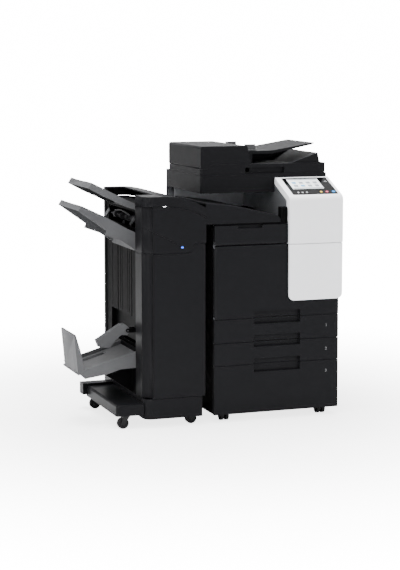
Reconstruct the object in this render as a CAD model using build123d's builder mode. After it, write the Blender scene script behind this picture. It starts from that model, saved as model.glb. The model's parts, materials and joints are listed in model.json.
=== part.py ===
from build123d import *
import math
import os

os.makedirs("parts", exist_ok=True)

# A floor-standing colour copier with four drawers' worth of paper below, a scanner and document
# feeder on top, and a stapling finisher docked at its left.  Millimetres, +Z up, floor at Z = 0.
# Every x and y below is measured from the body's front left corner, x to the right and y to the
# back; the view planes shift them so that the whole machine is centred on the origin.

# Overall sizes
body_width = 600.0
body_depth = 673.0
panel_width = 260.0
panel_overhang = 12.0
panel_proud = 15.0
dock_gap = 38.0
finisher_width = 286.0
finisher_depth = 641.0
tray_reach = 257.0
booklet_reach = 280.0

# Levels
front_z = 36.0
drawer_heights = {"tray_3": 219.0, "tray_2": 100.0, "tray_1": 105.0}
front_door_height = 326.0
toner_door_height = 89.0
exit_height = 129.0
scanner_height = 81.0
feeder_base_height = 46.0
feeder_cover_height = 83.0
caster_deck_z = 58.0

# Walls, seams and fits
seam = 2.0
rest_gap = 0.3
run_gap = 0.05
cover = 4.0
plate = 2.0
door_thickness = 22.0
door_skin = 4.0
pin_radius = 3.0

left_x = (dock_gap + finisher_width + booklet_reach - body_width - panel_overhang) / 2
front_y = -(body_depth - panel_proud) / 2


def plan(z):
    """Seen from above: sketch axes are x and y, extruding upwards."""
    return Plane(origin=(left_x, front_y, z), x_dir=(1, 0, 0), z_dir=(0, 0, 1))


def elevation(y):
    """Seen from the front: sketch axes are x and z, extruding towards the front."""
    return Plane(origin=(left_x, front_y + y, 0), x_dir=(1, 0, 0), z_dir=(0, -1, 0))


def section(x):
    """Seen from the right: sketch axes are y and z, extruding towards the right."""
    return Plane(origin=(left_x + x, front_y, 0), x_dir=(0, 1, 0), z_dir=(1, 0, 0))


def block(x, y, z, mode=Mode.ADD, corner=0.0):
    """A box between pairs of limits, its vertical edges rounded when a corner radius is given."""
    with BuildSketch(plan(z[0])) as profile:
        with Locations(((x[0] + x[1]) / 2, (y[0] + y[1]) / 2)):
            if corner:
                RectangleRounded(x[1] - x[0], y[1] - y[0], corner)
            else:
                Rectangle(x[1] - x[0], y[1] - y[0])
    extrude(profile.sketch, amount=z[1] - z[0], mode=mode)


def prism(plane, points, amount, mode=Mode.ADD):
    with BuildSketch(plane) as profile:
        with BuildLine():
            Polyline(*points, close=True)
        make_face()
    extrude(profile.sketch, amount=amount, mode=mode)


def front_prism(points, y, mode=Mode.ADD):
    """An outline of x, z points carried from y[0] to y[1]."""
    prism(elevation(y[1]), points, y[1] - y[0], mode)


def side_prism(points, x, mode=Mode.ADD):
    """An outline of y, z points carried from x[0] to x[1]."""
    prism(section(x[0]), points, x[1] - x[0], mode)


def rod(plane, centre, radius, amount, mode=Mode.ADD):
    with BuildSketch(plane) as profile:
        with Locations(centre):
            Circle(radius)
    extrude(profile.sketch, amount=amount, mode=mode)


def rod_x(centre, radius, x, mode=Mode.ADD):
    rod(section(x[0]), centre, radius, x[1] - x[0], mode)


def rod_y(centre, radius, y, mode=Mode.ADD):
    rod(elevation(y[1]), centre, radius, y[1] - y[0], mode)


def rod_z(centre, radius, z, mode=Mode.ADD):
    rod(plan(z[0]), centre, radius, z[1] - z[0], mode)


def save(piece, name):
    piece.part.label = name
    export_step(piece.part, f"parts/{name}.step")


# Levels that follow from the heights of the fronts, stacked with a seam between each
fronts = {}
level = front_z
for name, height in drawer_heights.items():
    fronts[name] = (level, level + height)
    level += height + seam
door_z = (level, level + front_door_height)
toner_z = (door_z[1] + seam, door_z[1] + seam + toner_door_height)
exit_z = toner_z[1] + seam
scanner_z = (exit_z + exit_height, exit_z + exit_height + scanner_height)
feeder_z = (scanner_z[1] + 1.0, scanner_z[1] + 1.0 + feeder_base_height)
feeder_top = feeder_z[1] + feeder_cover_height

# The sheet-metal box that carries everything
side_gap = 14.0
left_plate = (cover, cover + plate)
right_plate = (body_width - side_gap - plate, body_width - side_gap)
rear_shell = 13.0
rear_plate = (body_depth - rear_shell - plate, body_depth - rear_shell)
inside_x = (left_plate[1], right_plate[0])
front_in = door_thickness + seam
shelf_y = (front_in + seam, rear_plate[1])
panel_x = (body_width + panel_overhang - panel_width, body_width + panel_overhang)
floor_thickness = 5.0
floor_z = (caster_deck_z, caster_deck_z + floor_thickness)
main_deck_z = (door_z[0], door_z[0] + plate)
imaging_shelf_z = (door_z[0] + 124.0, door_z[0] + 124.0 + plate)
toner_shelf_z = (door_z[1] - 6.0, door_z[1] - 6.0 + plate)
exit_back_y = body_depth - 113.0
unit_back_y = exit_back_y
scanner_y = (170.0, body_depth - 9.0)

# Door hinges: a round edge turns about a pin held by two ears
hinge_radius = door_thickness / 2
ear_radius = hinge_radius - door_skin
ear_height = 6.0
ear_arm = 5.0
notch = 10.0

# Drawers
bin_x = (30.0, body_width - 40.0)
bin_y = (door_thickness, body_depth - 73.0)
bin_wall = 3.0
rail_height = 5.0
rail_width = 32.0
bin_above_front = {"tray_3": 48.0, "tray_2": 11.0, "tray_1": 11.0}
bin_below_top = 12.0
bins = {}
for name, (low, high) in fronts.items():
    bins[name] = (low + bin_above_front[name], high - bin_below_top)
pocket_x = (189.0, 412.0)
pocket_depth = 18.0
pocket_below = {"tray_3": 34.0, "tray_2": 22.0, "tray_1": 26.0}
pocket_above = {"tray_3": 25.0, "tray_2": 29.0, "tray_1": 29.0}

# Bypass door in the right cover
bypass_y = (130.0, 470.0)
bypass_z = (500.0, 720.0)
bypass_thickness = 10.0
bypass_pin = (body_width - bypass_thickness / 2, bypass_z[0] + bypass_thickness / 2)
bypass_pin_radius = 2.5
bypass_slot_z = (522.0, 544.0)

# Casters
wheel_radius = 25.0
axle_radius = 3.0
kingpin_radius = 5.0
main_front_casters = {"main_front_left": (65.0, 80.0), "main_front_right": (body_width - 65.0, 80.0)}
main_trail = 20.0
main_rear_y = body_depth - 73.0
main_rear_x = (65.0, body_width - 65.0)

# Finisher outline
fin_right = -dock_gap
fin_left = fin_right - finisher_width
fin_corner = 40.0
fin_wall = 12.0
fin_return = 130.0
fin_plinth_z = (38.0, 128.0)
fin_door_z = fin_plinth_z[1] + seam
fin_seam_z = 770.0
fin_seam_rise = 40.0
fin_top = 1020.0
fin_flat = 88.0
fin_drop = 53.5
top_cover_height = 42.0
top_skin = 6.0
side_wall_x = (fin_left + 6.0, fin_left + 16.0)
side_wall_y = (133.0, 598.0)
side_wall_top = 955.0
rear_post_y = 602.0
arc_run = finisher_width - fin_flat
arc_radius = (arc_run**2 + fin_drop**2) / (2 * fin_drop)

finisher_swivels = {
    "finisher_front_left": (fin_left - 71.0, 42.0),
    "finisher_rear_left": (fin_left - 71.0, 489.0),
}
finisher_trail = 18.0
finisher_fixed_x = fin_right - 57.0
finisher_fixed_y = (49.0, 590.0)

# Trays of the finisher
tray_y = (139.0, 482.0)
tray_root = side_wall_x[0]
groove_y = (200.0, 411.0)
groove_width = 11.0
exit_roller_axis = (fin_left + 20.0, 906.0)
exit_window_z = (872.0, 944.0)
exit_window_y = (150.0, 560.0)
booklet_window_y = (150.0, 520.0)
booklet_window_z = (336.0, 470.0)
arm_pin = (fin_left - 12.0, 405.0)
arm_y = (214.0, 246.0)

# ---------------------------------------------------------------- body frame
column_outline = [
    (front_in - seam, exit_z),
    (front_in - seam, 978.0),
    (scanner_y[0] - 4.0, 1040.0),
    (scanner_y[0] - 4.0, scanner_z[0]),
    (rear_plate[1], scanner_z[0]),
    (rear_plate[1], exit_z),
]
hinge_y = hinge_radius
front_hinge = (hinge_radius, hinge_y)
toner_hinge = (hinge_y, toner_z[0] + hinge_radius)
toner_x = (seam, panel_x[0] - seam)

with BuildPart() as chassis:
    block((cover, right_plate[1]), shelf_y, floor_z)
    block(left_plate, (front_in, rear_plate[1]), (floor_z[0], exit_z))
    block(right_plate, (front_in, rear_plate[1]), (floor_z[0], exit_z))
    block((cover, right_plate[1]), rear_plate, (floor_z[0], scanner_z[0]))
    for shelf in (main_deck_z, imaging_shelf_z, toner_shelf_z):
        block((cover, right_plate[1]), shelf_y, shelf)
    block((right_plate[0] - 82, right_plate[0]), (60, 580), (door_z[1] - 70, door_z[1] - 66))
    # drawer rails along both side plates
    for low, high in bins.values():
        rail_z = (low - rest_gap - rail_height, low - rest_gap)
        block((inside_x[0], inside_x[0] + rail_width), (30, rear_plate[0]), rail_z)
        block((inside_x[1] - rail_width, inside_x[1]), (30, rear_plate[0]), rail_z)
    # back wall of the paper exit and the column at its right, both carrying the scanner
    block((left_plate[0], panel_x[0]), (exit_back_y, exit_back_y + plate), (exit_z, scanner_z[0]))
    block((left_plate[0], panel_x[0]), (exit_back_y, rear_plate[1]), (scanner_z[0] - plate, scanner_z[0]))
    side_prism(column_outline, (panel_x[0], panel_x[0] + plate))
    side_prism(column_outline, right_plate)
    block((panel_x[0], right_plate[1]), (front_in - seam, front_in + seam), (toner_z[0], 978))
    block(
        (panel_x[0], right_plate[1]),
        (scanner_y[0], scanner_y[0] + 30),
        (scanner_z[0] - plate, scanner_z[0]),
    )
    # ears of the front door's hinge, bottom and top
    for z in (door_z[0] + 1, door_z[1] - 1 - ear_height):
        rod_z(front_hinge, ear_radius, (z, z + ear_height))
        block(
            (front_hinge[0] - ear_arm, front_hinge[0] + ear_arm),
            (front_hinge[1], shelf_y[0] + 4),
            (z, z + ear_height),
        )
        rod_z(front_hinge, pin_radius + run_gap, (z, z + ear_height), Mode.SUBTRACT)
    # ears of the toner door's hinge, left and right
    for x in (toner_x[0] + 2, toner_x[1] - 2 - ear_height):
        rod_x(toner_hinge, ear_radius, (x, x + ear_height))
        block(
            (x, x + ear_height),
            (toner_hinge[0], shelf_y[0] + 8),
            (toner_hinge[1] - ear_arm, toner_hinge[1] + ear_arm),
        )
        block((x, x + ear_height), (shelf_y[0], shelf_y[0] + 8), (toner_shelf_z[0], toner_hinge[1]))
        rod_x(toner_hinge, pin_radius + run_gap, (x, x + ear_height), Mode.SUBTRACT)
    # kingpin bores and the slot that bypass sheets pass through
    for centre in main_front_casters.values():
        rod_z(centre, kingpin_radius + run_gap, floor_z, Mode.SUBTRACT)
    block(right_plate, (bypass_y[0] + 10, bypass_y[1] - 10), bypass_slot_z, Mode.SUBTRACT)
save(chassis, "chassis")

# ---------------------------------------------------------------- body covers
rear_panel_y = (rear_plate[1], body_depth)
side_y = (front_in, rear_panel_y[0])
with BuildPart() as left_cover:
    block((0, cover), side_y, (front_z + seam, exit_z - seam))
    for y in (60.0, side_y[1] - 60.0):
        block((0, 1.0), (y, y + 3), (front_z + 40, exit_z - 40), Mode.SUBTRACT)
save(left_cover, "left_cover")

with BuildPart() as right_cover:
    block((body_width - cover, body_width), side_y, (front_z + seam, scanner_z[0] - seam))
    block(
        (body_width - cover, body_width),
        (bypass_y[0] - 1, bypass_y[1] + 1),
        (bypass_z[0] - 1, bypass_z[1] + 1),
        Mode.SUBTRACT,
    )
    # spacers that stand on the frame, and the ears of the bypass door
    for y in (60.0, rear_plate[0] - 60.0):
        for z in (120.0, 440.0, scanner_z[0] - 60):
            rod_x((y, z), 8, (right_plate[1], body_width - cover))
    for y in ((bypass_y[0] - 11, bypass_y[0] - 1), (bypass_y[1] + 1, bypass_y[1] + 11)):
        block((right_plate[1] + 2, body_width), y, (bypass_z[0] - 4, bypass_z[0] + 14))
        rod_y(bypass_pin, bypass_pin_radius + run_gap, y, Mode.SUBTRACT)
save(right_cover, "right_cover")

inlet_x = (70.0, 100.0)
inlet_z = (100.0, 124.0)
with BuildPart() as rear_cover:
    block((0, body_width), rear_panel_y, (front_z + seam, scanner_z[0] - seam))
    block(
        (6, body_width - 6),
        (rear_panel_y[0], rear_panel_y[1] - cover),
        (front_z + 10, scanner_z[0] - 10),
        Mode.SUBTRACT,
    )
    # cooling louvres and the window round the power inlet
    with BuildSketch(elevation(body_depth + 1)) as louvres:
        with Locations((body_width * 0.7, 760)):
            with GridLocations(0, 14, 1, 9):
                SlotOverall(180, 6)
        with Locations((body_width * 0.3, 240)):
            with GridLocations(0, 14, 1, 6):
                SlotOverall(140, 6)
    extrude(louvres.sketch, amount=cover + 2, mode=Mode.SUBTRACT)
    block(
        (inlet_x[0] - 0.5, inlet_x[1] + 0.5),
        rear_panel_y,
        (inlet_z[0] - 0.5, inlet_z[1] + 0.5),
        Mode.SUBTRACT,
    )
save(rear_cover, "rear_cover")

with BuildPart() as power_inlet:
    block(inlet_x, (rear_panel_y[0], body_depth - 1), inlet_z)
    middle_x = sum(inlet_x) / 2
    middle_z = sum(inlet_z) / 2
    block(
        (inlet_x[0] + 3, inlet_x[1] - 3),
        (rear_panel_y[0] + 2, body_depth),
        (inlet_z[0] + 3, inlet_z[1] - 3),
        Mode.SUBTRACT,
    )
    for dx, dz in ((-7.0, 2.0), (7.0, 2.0), (0.0, -2.0)):
        x = (middle_x + dx - 1, middle_x + dx + 1)
        block(x, (rear_panel_y[0] + 2, body_depth - 2), (middle_z + dz - 3, middle_z + dz + 3))
save(power_inlet, "power_inlet")

# ---------------------------------------------------------------- doors and drawers
front_x = (0.0, body_width)
front_y_limits = (0.0, door_thickness)


def front_pocket(low, high):
    """A finger pocket cut into a front, from one level to another."""
    block(pocket_x, (-1, pocket_depth), (low, high), Mode.SUBTRACT, 0)


with BuildPart() as front_door:
    block((front_hinge[0], front_x[1]), front_y_limits, door_z)
    rod_z(front_hinge, hinge_radius, door_z)
    cavity_z = (door_z[0] + pocket_above["tray_1"] + 6, door_z[1] - 14)
    block((front_hinge[0] + 20, front_x[1] - 12), (door_skin, door_thickness), cavity_z, Mode.SUBTRACT)
    front_pocket(door_z[0] - 1, door_z[0] + pocket_above["tray_1"])
    notch_x = (-1.0, front_hinge[0] + hinge_radius + 1)
    for z in ((door_z[0] - 1, door_z[0] + notch), (door_z[1] - notch, door_z[1] + 1)):
        block(notch_x, (door_skin - 1, door_thickness + 1), z, Mode.SUBTRACT)
    rod_z(front_hinge, pin_radius, (door_z[0] + 1, door_z[0] + notch))
    rod_z(front_hinge, pin_radius, (door_z[1] - notch, door_z[1] - 1))
save(front_door, "front_door")

trim_bottom = door_z[0] + 71.0
trim_corner = 25.0
with BuildPart() as door_trim:
    with BuildSketch(elevation(0)) as outline:
        with Locations((sum(panel_x) / 2, (trim_bottom + door_z[1] - 1) / 2)):
            Rectangle(panel_width, door_z[1] - 1 - trim_bottom)
        fillet(outline.vertices().group_by(Axis.Y)[0], trim_corner)
    extrude(outline.sketch, amount=panel_proud)
    block(
        (panel_x[0] + 10, body_width - 4),
        (-panel_proud + 4, 0),
        (trim_bottom + 30, door_z[1] - 10),
        Mode.SUBTRACT,
    )
    block(
        (body_width + rest_gap, panel_x[1]),
        (-1, door_thickness),
        (trim_bottom + trim_corner, door_z[1] - 1),
    )
    fillet(door_trim.faces().sort_by(Axis.Y)[0].outer_wire().edges(), 3.5)
save(door_trim, "door_trim")

toner_notch_x = (113.0, 228.0)
with BuildPart() as toner_door:
    block(toner_x, front_y_limits, (toner_hinge[1], toner_z[1]))
    rod_x(toner_hinge, hinge_radius, toner_x)
    block(
        (toner_x[0] + 14, toner_x[1] - 14),
        (door_skin, door_thickness),
        (toner_hinge[1] + 16, toner_z[1] - 20),
        Mode.SUBTRACT,
    )
    block(toner_notch_x, (-1, 14), (toner_z[1] - 14, toner_z[1] + 1), Mode.SUBTRACT)
    for x in ((toner_x[0] - 1, toner_x[0] + notch), (toner_x[1] - notch, toner_x[1] + 1)):
        block(
            x,
            (door_skin - 1, door_thickness + 1),
            (toner_z[0] - 1, toner_hinge[1] + hinge_radius + 1),
            Mode.SUBTRACT,
        )
    rod_x(toner_hinge, pin_radius, (toner_x[0] + 1, toner_x[0] + notch))
    rod_x(toner_hinge, pin_radius, (toner_x[1] - notch, toner_x[1] - 1))
save(toner_door, "toner_door")

names = list(fronts)
for index, name in enumerate(names):
    low, high = fronts[name]
    with BuildPart() as face:
        block(front_x, front_y_limits, (low, high))
        front_pocket(high - pocket_below[name], high + 1)
        if index:
            front_pocket(low - 1, low + pocket_above[names[index - 1]])
        # hollow behind the face, clear of both pockets
        hollow_top = high - pocket_below[name] - 5
        hollow_low = low + 8 + (pocket_above[names[index - 1]] - 3 if index else 0)
        if hollow_top - hollow_low > 20:
            block(
                (12, body_width - 12),
                (door_skin, door_thickness),
                (hollow_low, hollow_top),
                Mode.SUBTRACT,
            )
    save(face, f"{name}_face")
    bin_low, bin_high = bins[name]
    with BuildPart() as paper_bin:
        block(bin_x, bin_y, (bin_low, bin_high))
        block(
            (bin_x[0] + bin_wall, bin_x[1] - bin_wall),
            (bin_y[0] + bin_wall, bin_y[1] - bin_wall),
            (bin_low + bin_wall, bin_high + 1),
            Mode.SUBTRACT,
        )
    save(paper_bin, f"{name}_bin")

with BuildPart() as bypass_tray:
    block((body_width - bypass_thickness, body_width), bypass_y, (bypass_pin[1], bypass_z[1]))
    rod_y(bypass_pin, bypass_thickness / 2, bypass_y)
    block(
        (body_width - bypass_thickness, body_width - 4),
        (bypass_y[0] + 12, bypass_y[1] - 12),
        (bypass_pin[1] + 12, bypass_z[1] - 12),
        Mode.SUBTRACT,
    )
    block((body_width - 3, body_width), (260, 340), (bypass_z[1] - 14, bypass_z[1]), Mode.SUBTRACT)
    rod_y(bypass_pin, bypass_pin_radius, (bypass_y[0] - 9, bypass_y[1] + 9))
save(bypass_tray, "bypass_tray")

# ---------------------------------------------------------------- units inside the body
imaging_width = 92.0
imaging_pitch = 108.0
imaging_top = imaging_shelf_z[1] + 76.0
with BuildPart() as imaging_units:
    for index in range(4):
        x = inside_x[0] + 42 + index * imaging_pitch
        block((x, x + imaging_width), (46, unit_back_y), (imaging_shelf_z[1], imaging_top), corner=10)
        block(
            (x + 20, x + imaging_width - 20),
            (30, 46),
            (imaging_shelf_z[1] + 14, imaging_shelf_z[1] + 60),
        )
        # the hollow that holds drum and developer
        block(
            (x + 8, x + imaging_width - 8),
            (54, unit_back_y - 8),
            (imaging_shelf_z[1] + 8, imaging_top),
            Mode.SUBTRACT,
        )
save(imaging_units, "imaging_units")

belt_z = (imaging_top, imaging_top + 46.0)
belt_x = (inside_x[0] + 36, inside_x[0] + 470)
with BuildPart() as transfer_unit:
    with BuildSketch(elevation(unit_back_y)) as loop:
        with Locations((sum(belt_x) / 2, sum(belt_z) / 2)):
            RectangleRounded(belt_x[1] - belt_x[0], belt_z[1] - belt_z[0], 20)
            RectangleRounded(belt_x[1] - belt_x[0] - 12, belt_z[1] - belt_z[0] - 12, 14, mode=Mode.SUBTRACT)
    extrude(loop.sketch, amount=unit_back_y - 50)
    for x in (belt_x[0] + 22, belt_x[1] - 22):
        rod_y((x, sum(belt_z) / 2), 17.5, (50, unit_back_y))
save(transfer_unit, "transfer_unit")

fuser_z = (door_z[1] - 66, door_z[1] - 10)
fuser_y = (70.0, unit_back_y + 10)
with BuildPart() as fuser_unit:
    block((right_plate[0] - 80, right_plate[0] - 4), fuser_y, fuser_z, corner=6)
    rod_y((right_plate[0] - 42, sum(fuser_z) / 2), 22, fuser_y, Mode.SUBTRACT)
    rod_y((right_plate[0] - 42, sum(fuser_z) / 2), 16, (fuser_y[0] - 4, fuser_y[1] + 4))
    for y in ((fuser_y[0], fuser_y[0] + 8), (fuser_y[1] - 8, fuser_y[1])):
        rod_y((right_plate[0] - 42, sum(fuser_z) / 2), 22, y)
save(fuser_unit, "fuser_unit")

with BuildPart() as waste_toner_box:
    block((30, 230), (shelf_y[0] + 4, shelf_y[0] + 70), (main_deck_z[1], main_deck_z[1] + 100), corner=8)
    block(
        (36, 224),
        (shelf_y[0] + 10, shelf_y[0] + 64),
        (main_deck_z[1] + 8, main_deck_z[1] + 100),
        Mode.SUBTRACT,
    )
save(waste_toner_box, "waste_toner_box")

bottle_radius = 34.0
bottle_pitch = 78.0
bottle_y = (44.0, 460.0)
with BuildPart() as toner_bottles:
    for index in range(4):
        centre = (inside_x[0] + 46 + index * bottle_pitch, toner_shelf_z[1] + bottle_radius + rest_gap)
        rod_y(centre, bottle_radius, bottle_y)
        rod_y(centre, bottle_radius - 8, (bottle_y[0] - 10, bottle_y[0]))
save(toner_bottles, "toner_bottles")

# ---------------------------------------------------------------- paper exit, relay and scanner
exit_floor = 7.0
relay_y = (4.0, 430.0)
relay_right = panel_x[0] - 36.0
relay_top = 101.0
with BuildPart() as exit_tray:
    block((left_plate[0], panel_x[0] - 1), (relay_y[0], exit_back_y), (exit_z, exit_z + exit_floor))
    block((relay_right + 2, panel_x[0] - 3), (relay_y[0], relay_y[0] + 36), (exit_z, exit_z + 73))
    front_prism(
        [
            (relay_right - 90, exit_z + exit_floor),
            (panel_x[0] - 1, exit_z + exit_floor),
            (panel_x[0] - 1, exit_z + exit_floor + 26),
        ],
        (relay_y[1] + 4, exit_back_y),
    )
save(exit_tray, "exit_tray")

relay_low = exit_z + exit_floor
relay_left = fin_right + rest_gap
relay_outline = [
    (relay_left, relay_low),
    (relay_left, exit_z + relay_top),
    (118.0, exit_z + relay_top - 21),
    (relay_right - 13, exit_z + 38),
    (relay_right, exit_z + 21),
    (relay_right, relay_low),
]
relay_hollow = [
    (relay_left - 1, relay_low + 6),
    (relay_left - 1, exit_z + relay_top - 8),
    (116.0, exit_z + relay_top - 30),
    (relay_right - 30, exit_z + 32),
    (relay_right - 30, relay_low + 6),
]
with BuildPart() as relay_unit:
    front_prism(relay_outline, relay_y)
    front_prism(relay_hollow, (relay_y[0] + 5, relay_y[1] - 5), Mode.SUBTRACT)
save(relay_unit, "relay_unit")

scanner_x = (-4.0, body_width + 11.0)
scanner_floor = 8.0
scanner_wall = 18.0
glass_y = (215.0, body_depth - 113.0)
glass_x = (90.0, body_width - 40.0)
strip_x = (36.0, 64.0)
glass_depth = 6.0
platen_sink = 1.5
ledge = 6.0
rail_z = (scanner_z[0] + scanner_floor, scanner_z[0] + 26)
rails_y = ((230.0, 238.0), (body_depth - 81.0, body_depth - 73.0))
with BuildPart() as scanner_housing:
    block(scanner_x, scanner_y, scanner_z, corner=8)
    block(
        (scanner_x[0] + scanner_wall, scanner_x[1] - scanner_wall),
        (scanner_y[0] + scanner_wall, scanner_y[1] - 26),
        (scanner_z[0] + scanner_floor, scanner_z[1] - glass_depth - 5),
        Mode.SUBTRACT,
    )
    for x in (glass_x, strip_x):
        block(x, glass_y, (scanner_z[1] - glass_depth, scanner_z[1]), Mode.SUBTRACT)
        block(
            (x[0] + ledge, x[1] - ledge),
            (glass_y[0] + ledge, glass_y[1] - ledge),
            (scanner_z[1] - glass_depth - 6, scanner_z[1]),
            Mode.SUBTRACT,
        )
    for y in rails_y:
        block((scanner_x[0] + scanner_wall, scanner_x[1] - scanner_wall), y, rail_z)
save(scanner_housing, "scanner_housing")

with BuildPart() as platen_glass:
    for x in (glass_x, strip_x):
        block(
            (x[0] + 0.5, x[1] - 0.5),
            (glass_y[0] + 0.5, glass_y[1] - 0.5),
            (scanner_z[1] - glass_depth, scanner_z[1] - platen_sink),
        )
save(platen_glass, "platen_glass")

carriage_x = (24.0, 66.0)
carriage_y = (204.0, body_depth - 49.0)
with BuildPart() as scan_carriage:
    block(carriage_x, carriage_y, (rail_z[1] + rest_gap, rail_z[1] + 34))
    block(
        (carriage_x[0] + 14, carriage_x[1] - 14),
        (carriage_y[0] + 20, carriage_y[1] - 20),
        (rail_z[1] + 20, rail_z[1] + 35),
        Mode.SUBTRACT,
    )
save(scan_carriage, "scan_carriage")

# ---------------------------------------------------------------- control panel
slope = math.atan2(78.0, 180.0)
panel_bend = toner_z[1] + 118.0
panel_bottom = door_z[1] + 1
panel_wall = 5.0
desk = Plane(
    origin=(left_x, front_y - panel_proud, panel_bend),
    x_dir=(1, 0, 0),
    z_dir=(0, -math.sin(slope), math.cos(slope)),
)
panel_back = scanner_y[0] - seam
glass_run = (24.0, 184.0)
panel_outline = [
    (-panel_proud, panel_bottom),
    (-panel_proud, panel_bend),
    (panel_back - 5, panel_bend + (panel_back - 5 + panel_proud) * math.tan(slope)),
    (panel_back, panel_bend + 71),
    (panel_back, panel_bend + 47),
    (door_thickness, panel_bend - 16),
    (door_thickness, panel_bottom),
]
panel_hollow = [
    (-panel_proud + panel_wall, panel_bottom + panel_wall),
    (-panel_proud + panel_wall, panel_bend - 3.3),
    (
        panel_back - 8,
        panel_bend + (panel_back - 8 + panel_proud) * math.tan(slope) - panel_wall / math.cos(slope),
    ),
    (panel_back - 8, panel_bend + 30),
    (door_thickness + 8, panel_bend - 30),
    (door_thickness + 8, panel_bottom + panel_wall),
]
keys = {"reset_key": (521.0, 5.5), "stop_key": (549.6, 6.0), "start_key": (582.0, 8.0)}
key_run = 44.0
key_gap = 0.4
key_travel = 1.2
glass_thickness = 2.0
glass_sink = 1.2


def desk_disc(centre, radius, low, high, mode=Mode.ADD):
    """A disc standing square to the sloping desk, between two heights over its surface."""
    rod(desk.offset(low), centre, radius, high - low, mode)


with BuildPart() as panel_housing:
    side_prism(panel_outline, panel_x)
    bend = panel_housing.edges().filter_by(Axis.X).group_by(Axis.Y)[0].sort_by(Axis.Z)[-1]
    fillet(bend, 28)
    fillet(panel_housing.faces().sort_by(Axis.X)[0].outer_wire().edges().group_by(Axis.Y)[0], 3)
    side_prism(panel_hollow, (panel_x[0] + panel_wall, panel_x[1] - panel_wall), Mode.SUBTRACT)
    with BuildSketch(desk.offset(-glass_sink)) as recess:
        with Locations(((keys["reset_key"][0] + 67 - 100.0), sum(glass_run) / 2)):
            RectangleRounded(220.5, glass_run[1] - glass_run[0] + 0.5, 6.25)
    extrude(recess.sketch, amount=glass_sink + 1, mode=Mode.SUBTRACT)
    for x, radius in keys.values():
        desk_disc((x, key_run), radius + key_gap, -12, 4, Mode.SUBTRACT)
save(panel_housing, "panel_housing")

with BuildPart() as panel_glass:
    with BuildSketch(desk.offset(-glass_sink)) as pane:
        with Locations(((keys["reset_key"][0] + 67 - 100.0), sum(glass_run) / 2)):
            RectangleRounded(220, glass_run[1] - glass_run[0], 6)
    extrude(pane.sketch, amount=glass_thickness)
    for x, radius in keys.values():
        desk_disc((x, key_run), radius + key_gap, -3, 4, Mode.SUBTRACT)
save(panel_glass, "panel_glass")

for name, (x, radius) in keys.items():
    with BuildPart() as key:
        desk_disc((x, key_run), radius, -9, glass_thickness - glass_sink + key_travel + 0.4)
        desk_disc((x, key_run), radius + 2, -9, -7)
    save(key, name)

# ---------------------------------------------------------------- document feeder
feeder_x = (-4.0, body_width + 4.0)
feeder_y = (scanner_y[0], body_depth - 53.0)
path_y = (feeder_y[0] + 8.0, feeder_y[1] - 8.0)
cover_ears = ((path_y[0] + 8.0, path_y[0] + 14.0), (path_y[1] - 14.0, path_y[1] - 8.0))
hinge_axis = (feeder_y[1] + 18.0, feeder_z[0] + 16.0)
hinge_centres = (90.0, 510.0)
lug_half = 12.0
lug_radius = 9.0
hinge_pin = 4.0
cover_right_low = 239.0
cover_right_top = 219.0
step_x = (30.0, 48.0)
step_z = feeder_z[1] - 18.0
cover_axis = (feeder_x[0] + 5.0, step_z + rest_gap + 5.0)
roller_axis = (200.0, feeder_z[1] + 18.0)
roller_shaft = 4.0
tray_hinge = (255.0, feeder_z[1] + 47.0)
doc_y = (230.0, body_depth - 128.0)
grip_x = (210.0, 401.0)
bed_peak = (570.0, feeder_z[1] + 45.0)
rear_house_x = (275.0, feeder_x[1])
rear_house_y = feeder_y[1] - 120.0
rear_house_top = feeder_z[1] + 41.0

with BuildPart() as feeder_hinges:
    for centre in hinge_centres:
        block(
            (centre - 26, centre + 26),
            (hinge_axis[0] - 12, scanner_y[1] - 2),
            (scanner_z[1], scanner_z[1] + 4),
        )
        for side in (-1, 1):
            x = sorted((centre + side * (lug_half + 1), centre + side * (lug_half + 8)))
            rod_x(hinge_axis, 11, x)
            block(x, (hinge_axis[0] - 9, hinge_axis[0] + 9), (scanner_z[1], hinge_axis[1]))
        rod_x(hinge_axis, hinge_pin, (centre - lug_half - 8, centre + lug_half + 8))
save(feeder_hinges, "feeder_hinges")

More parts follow.
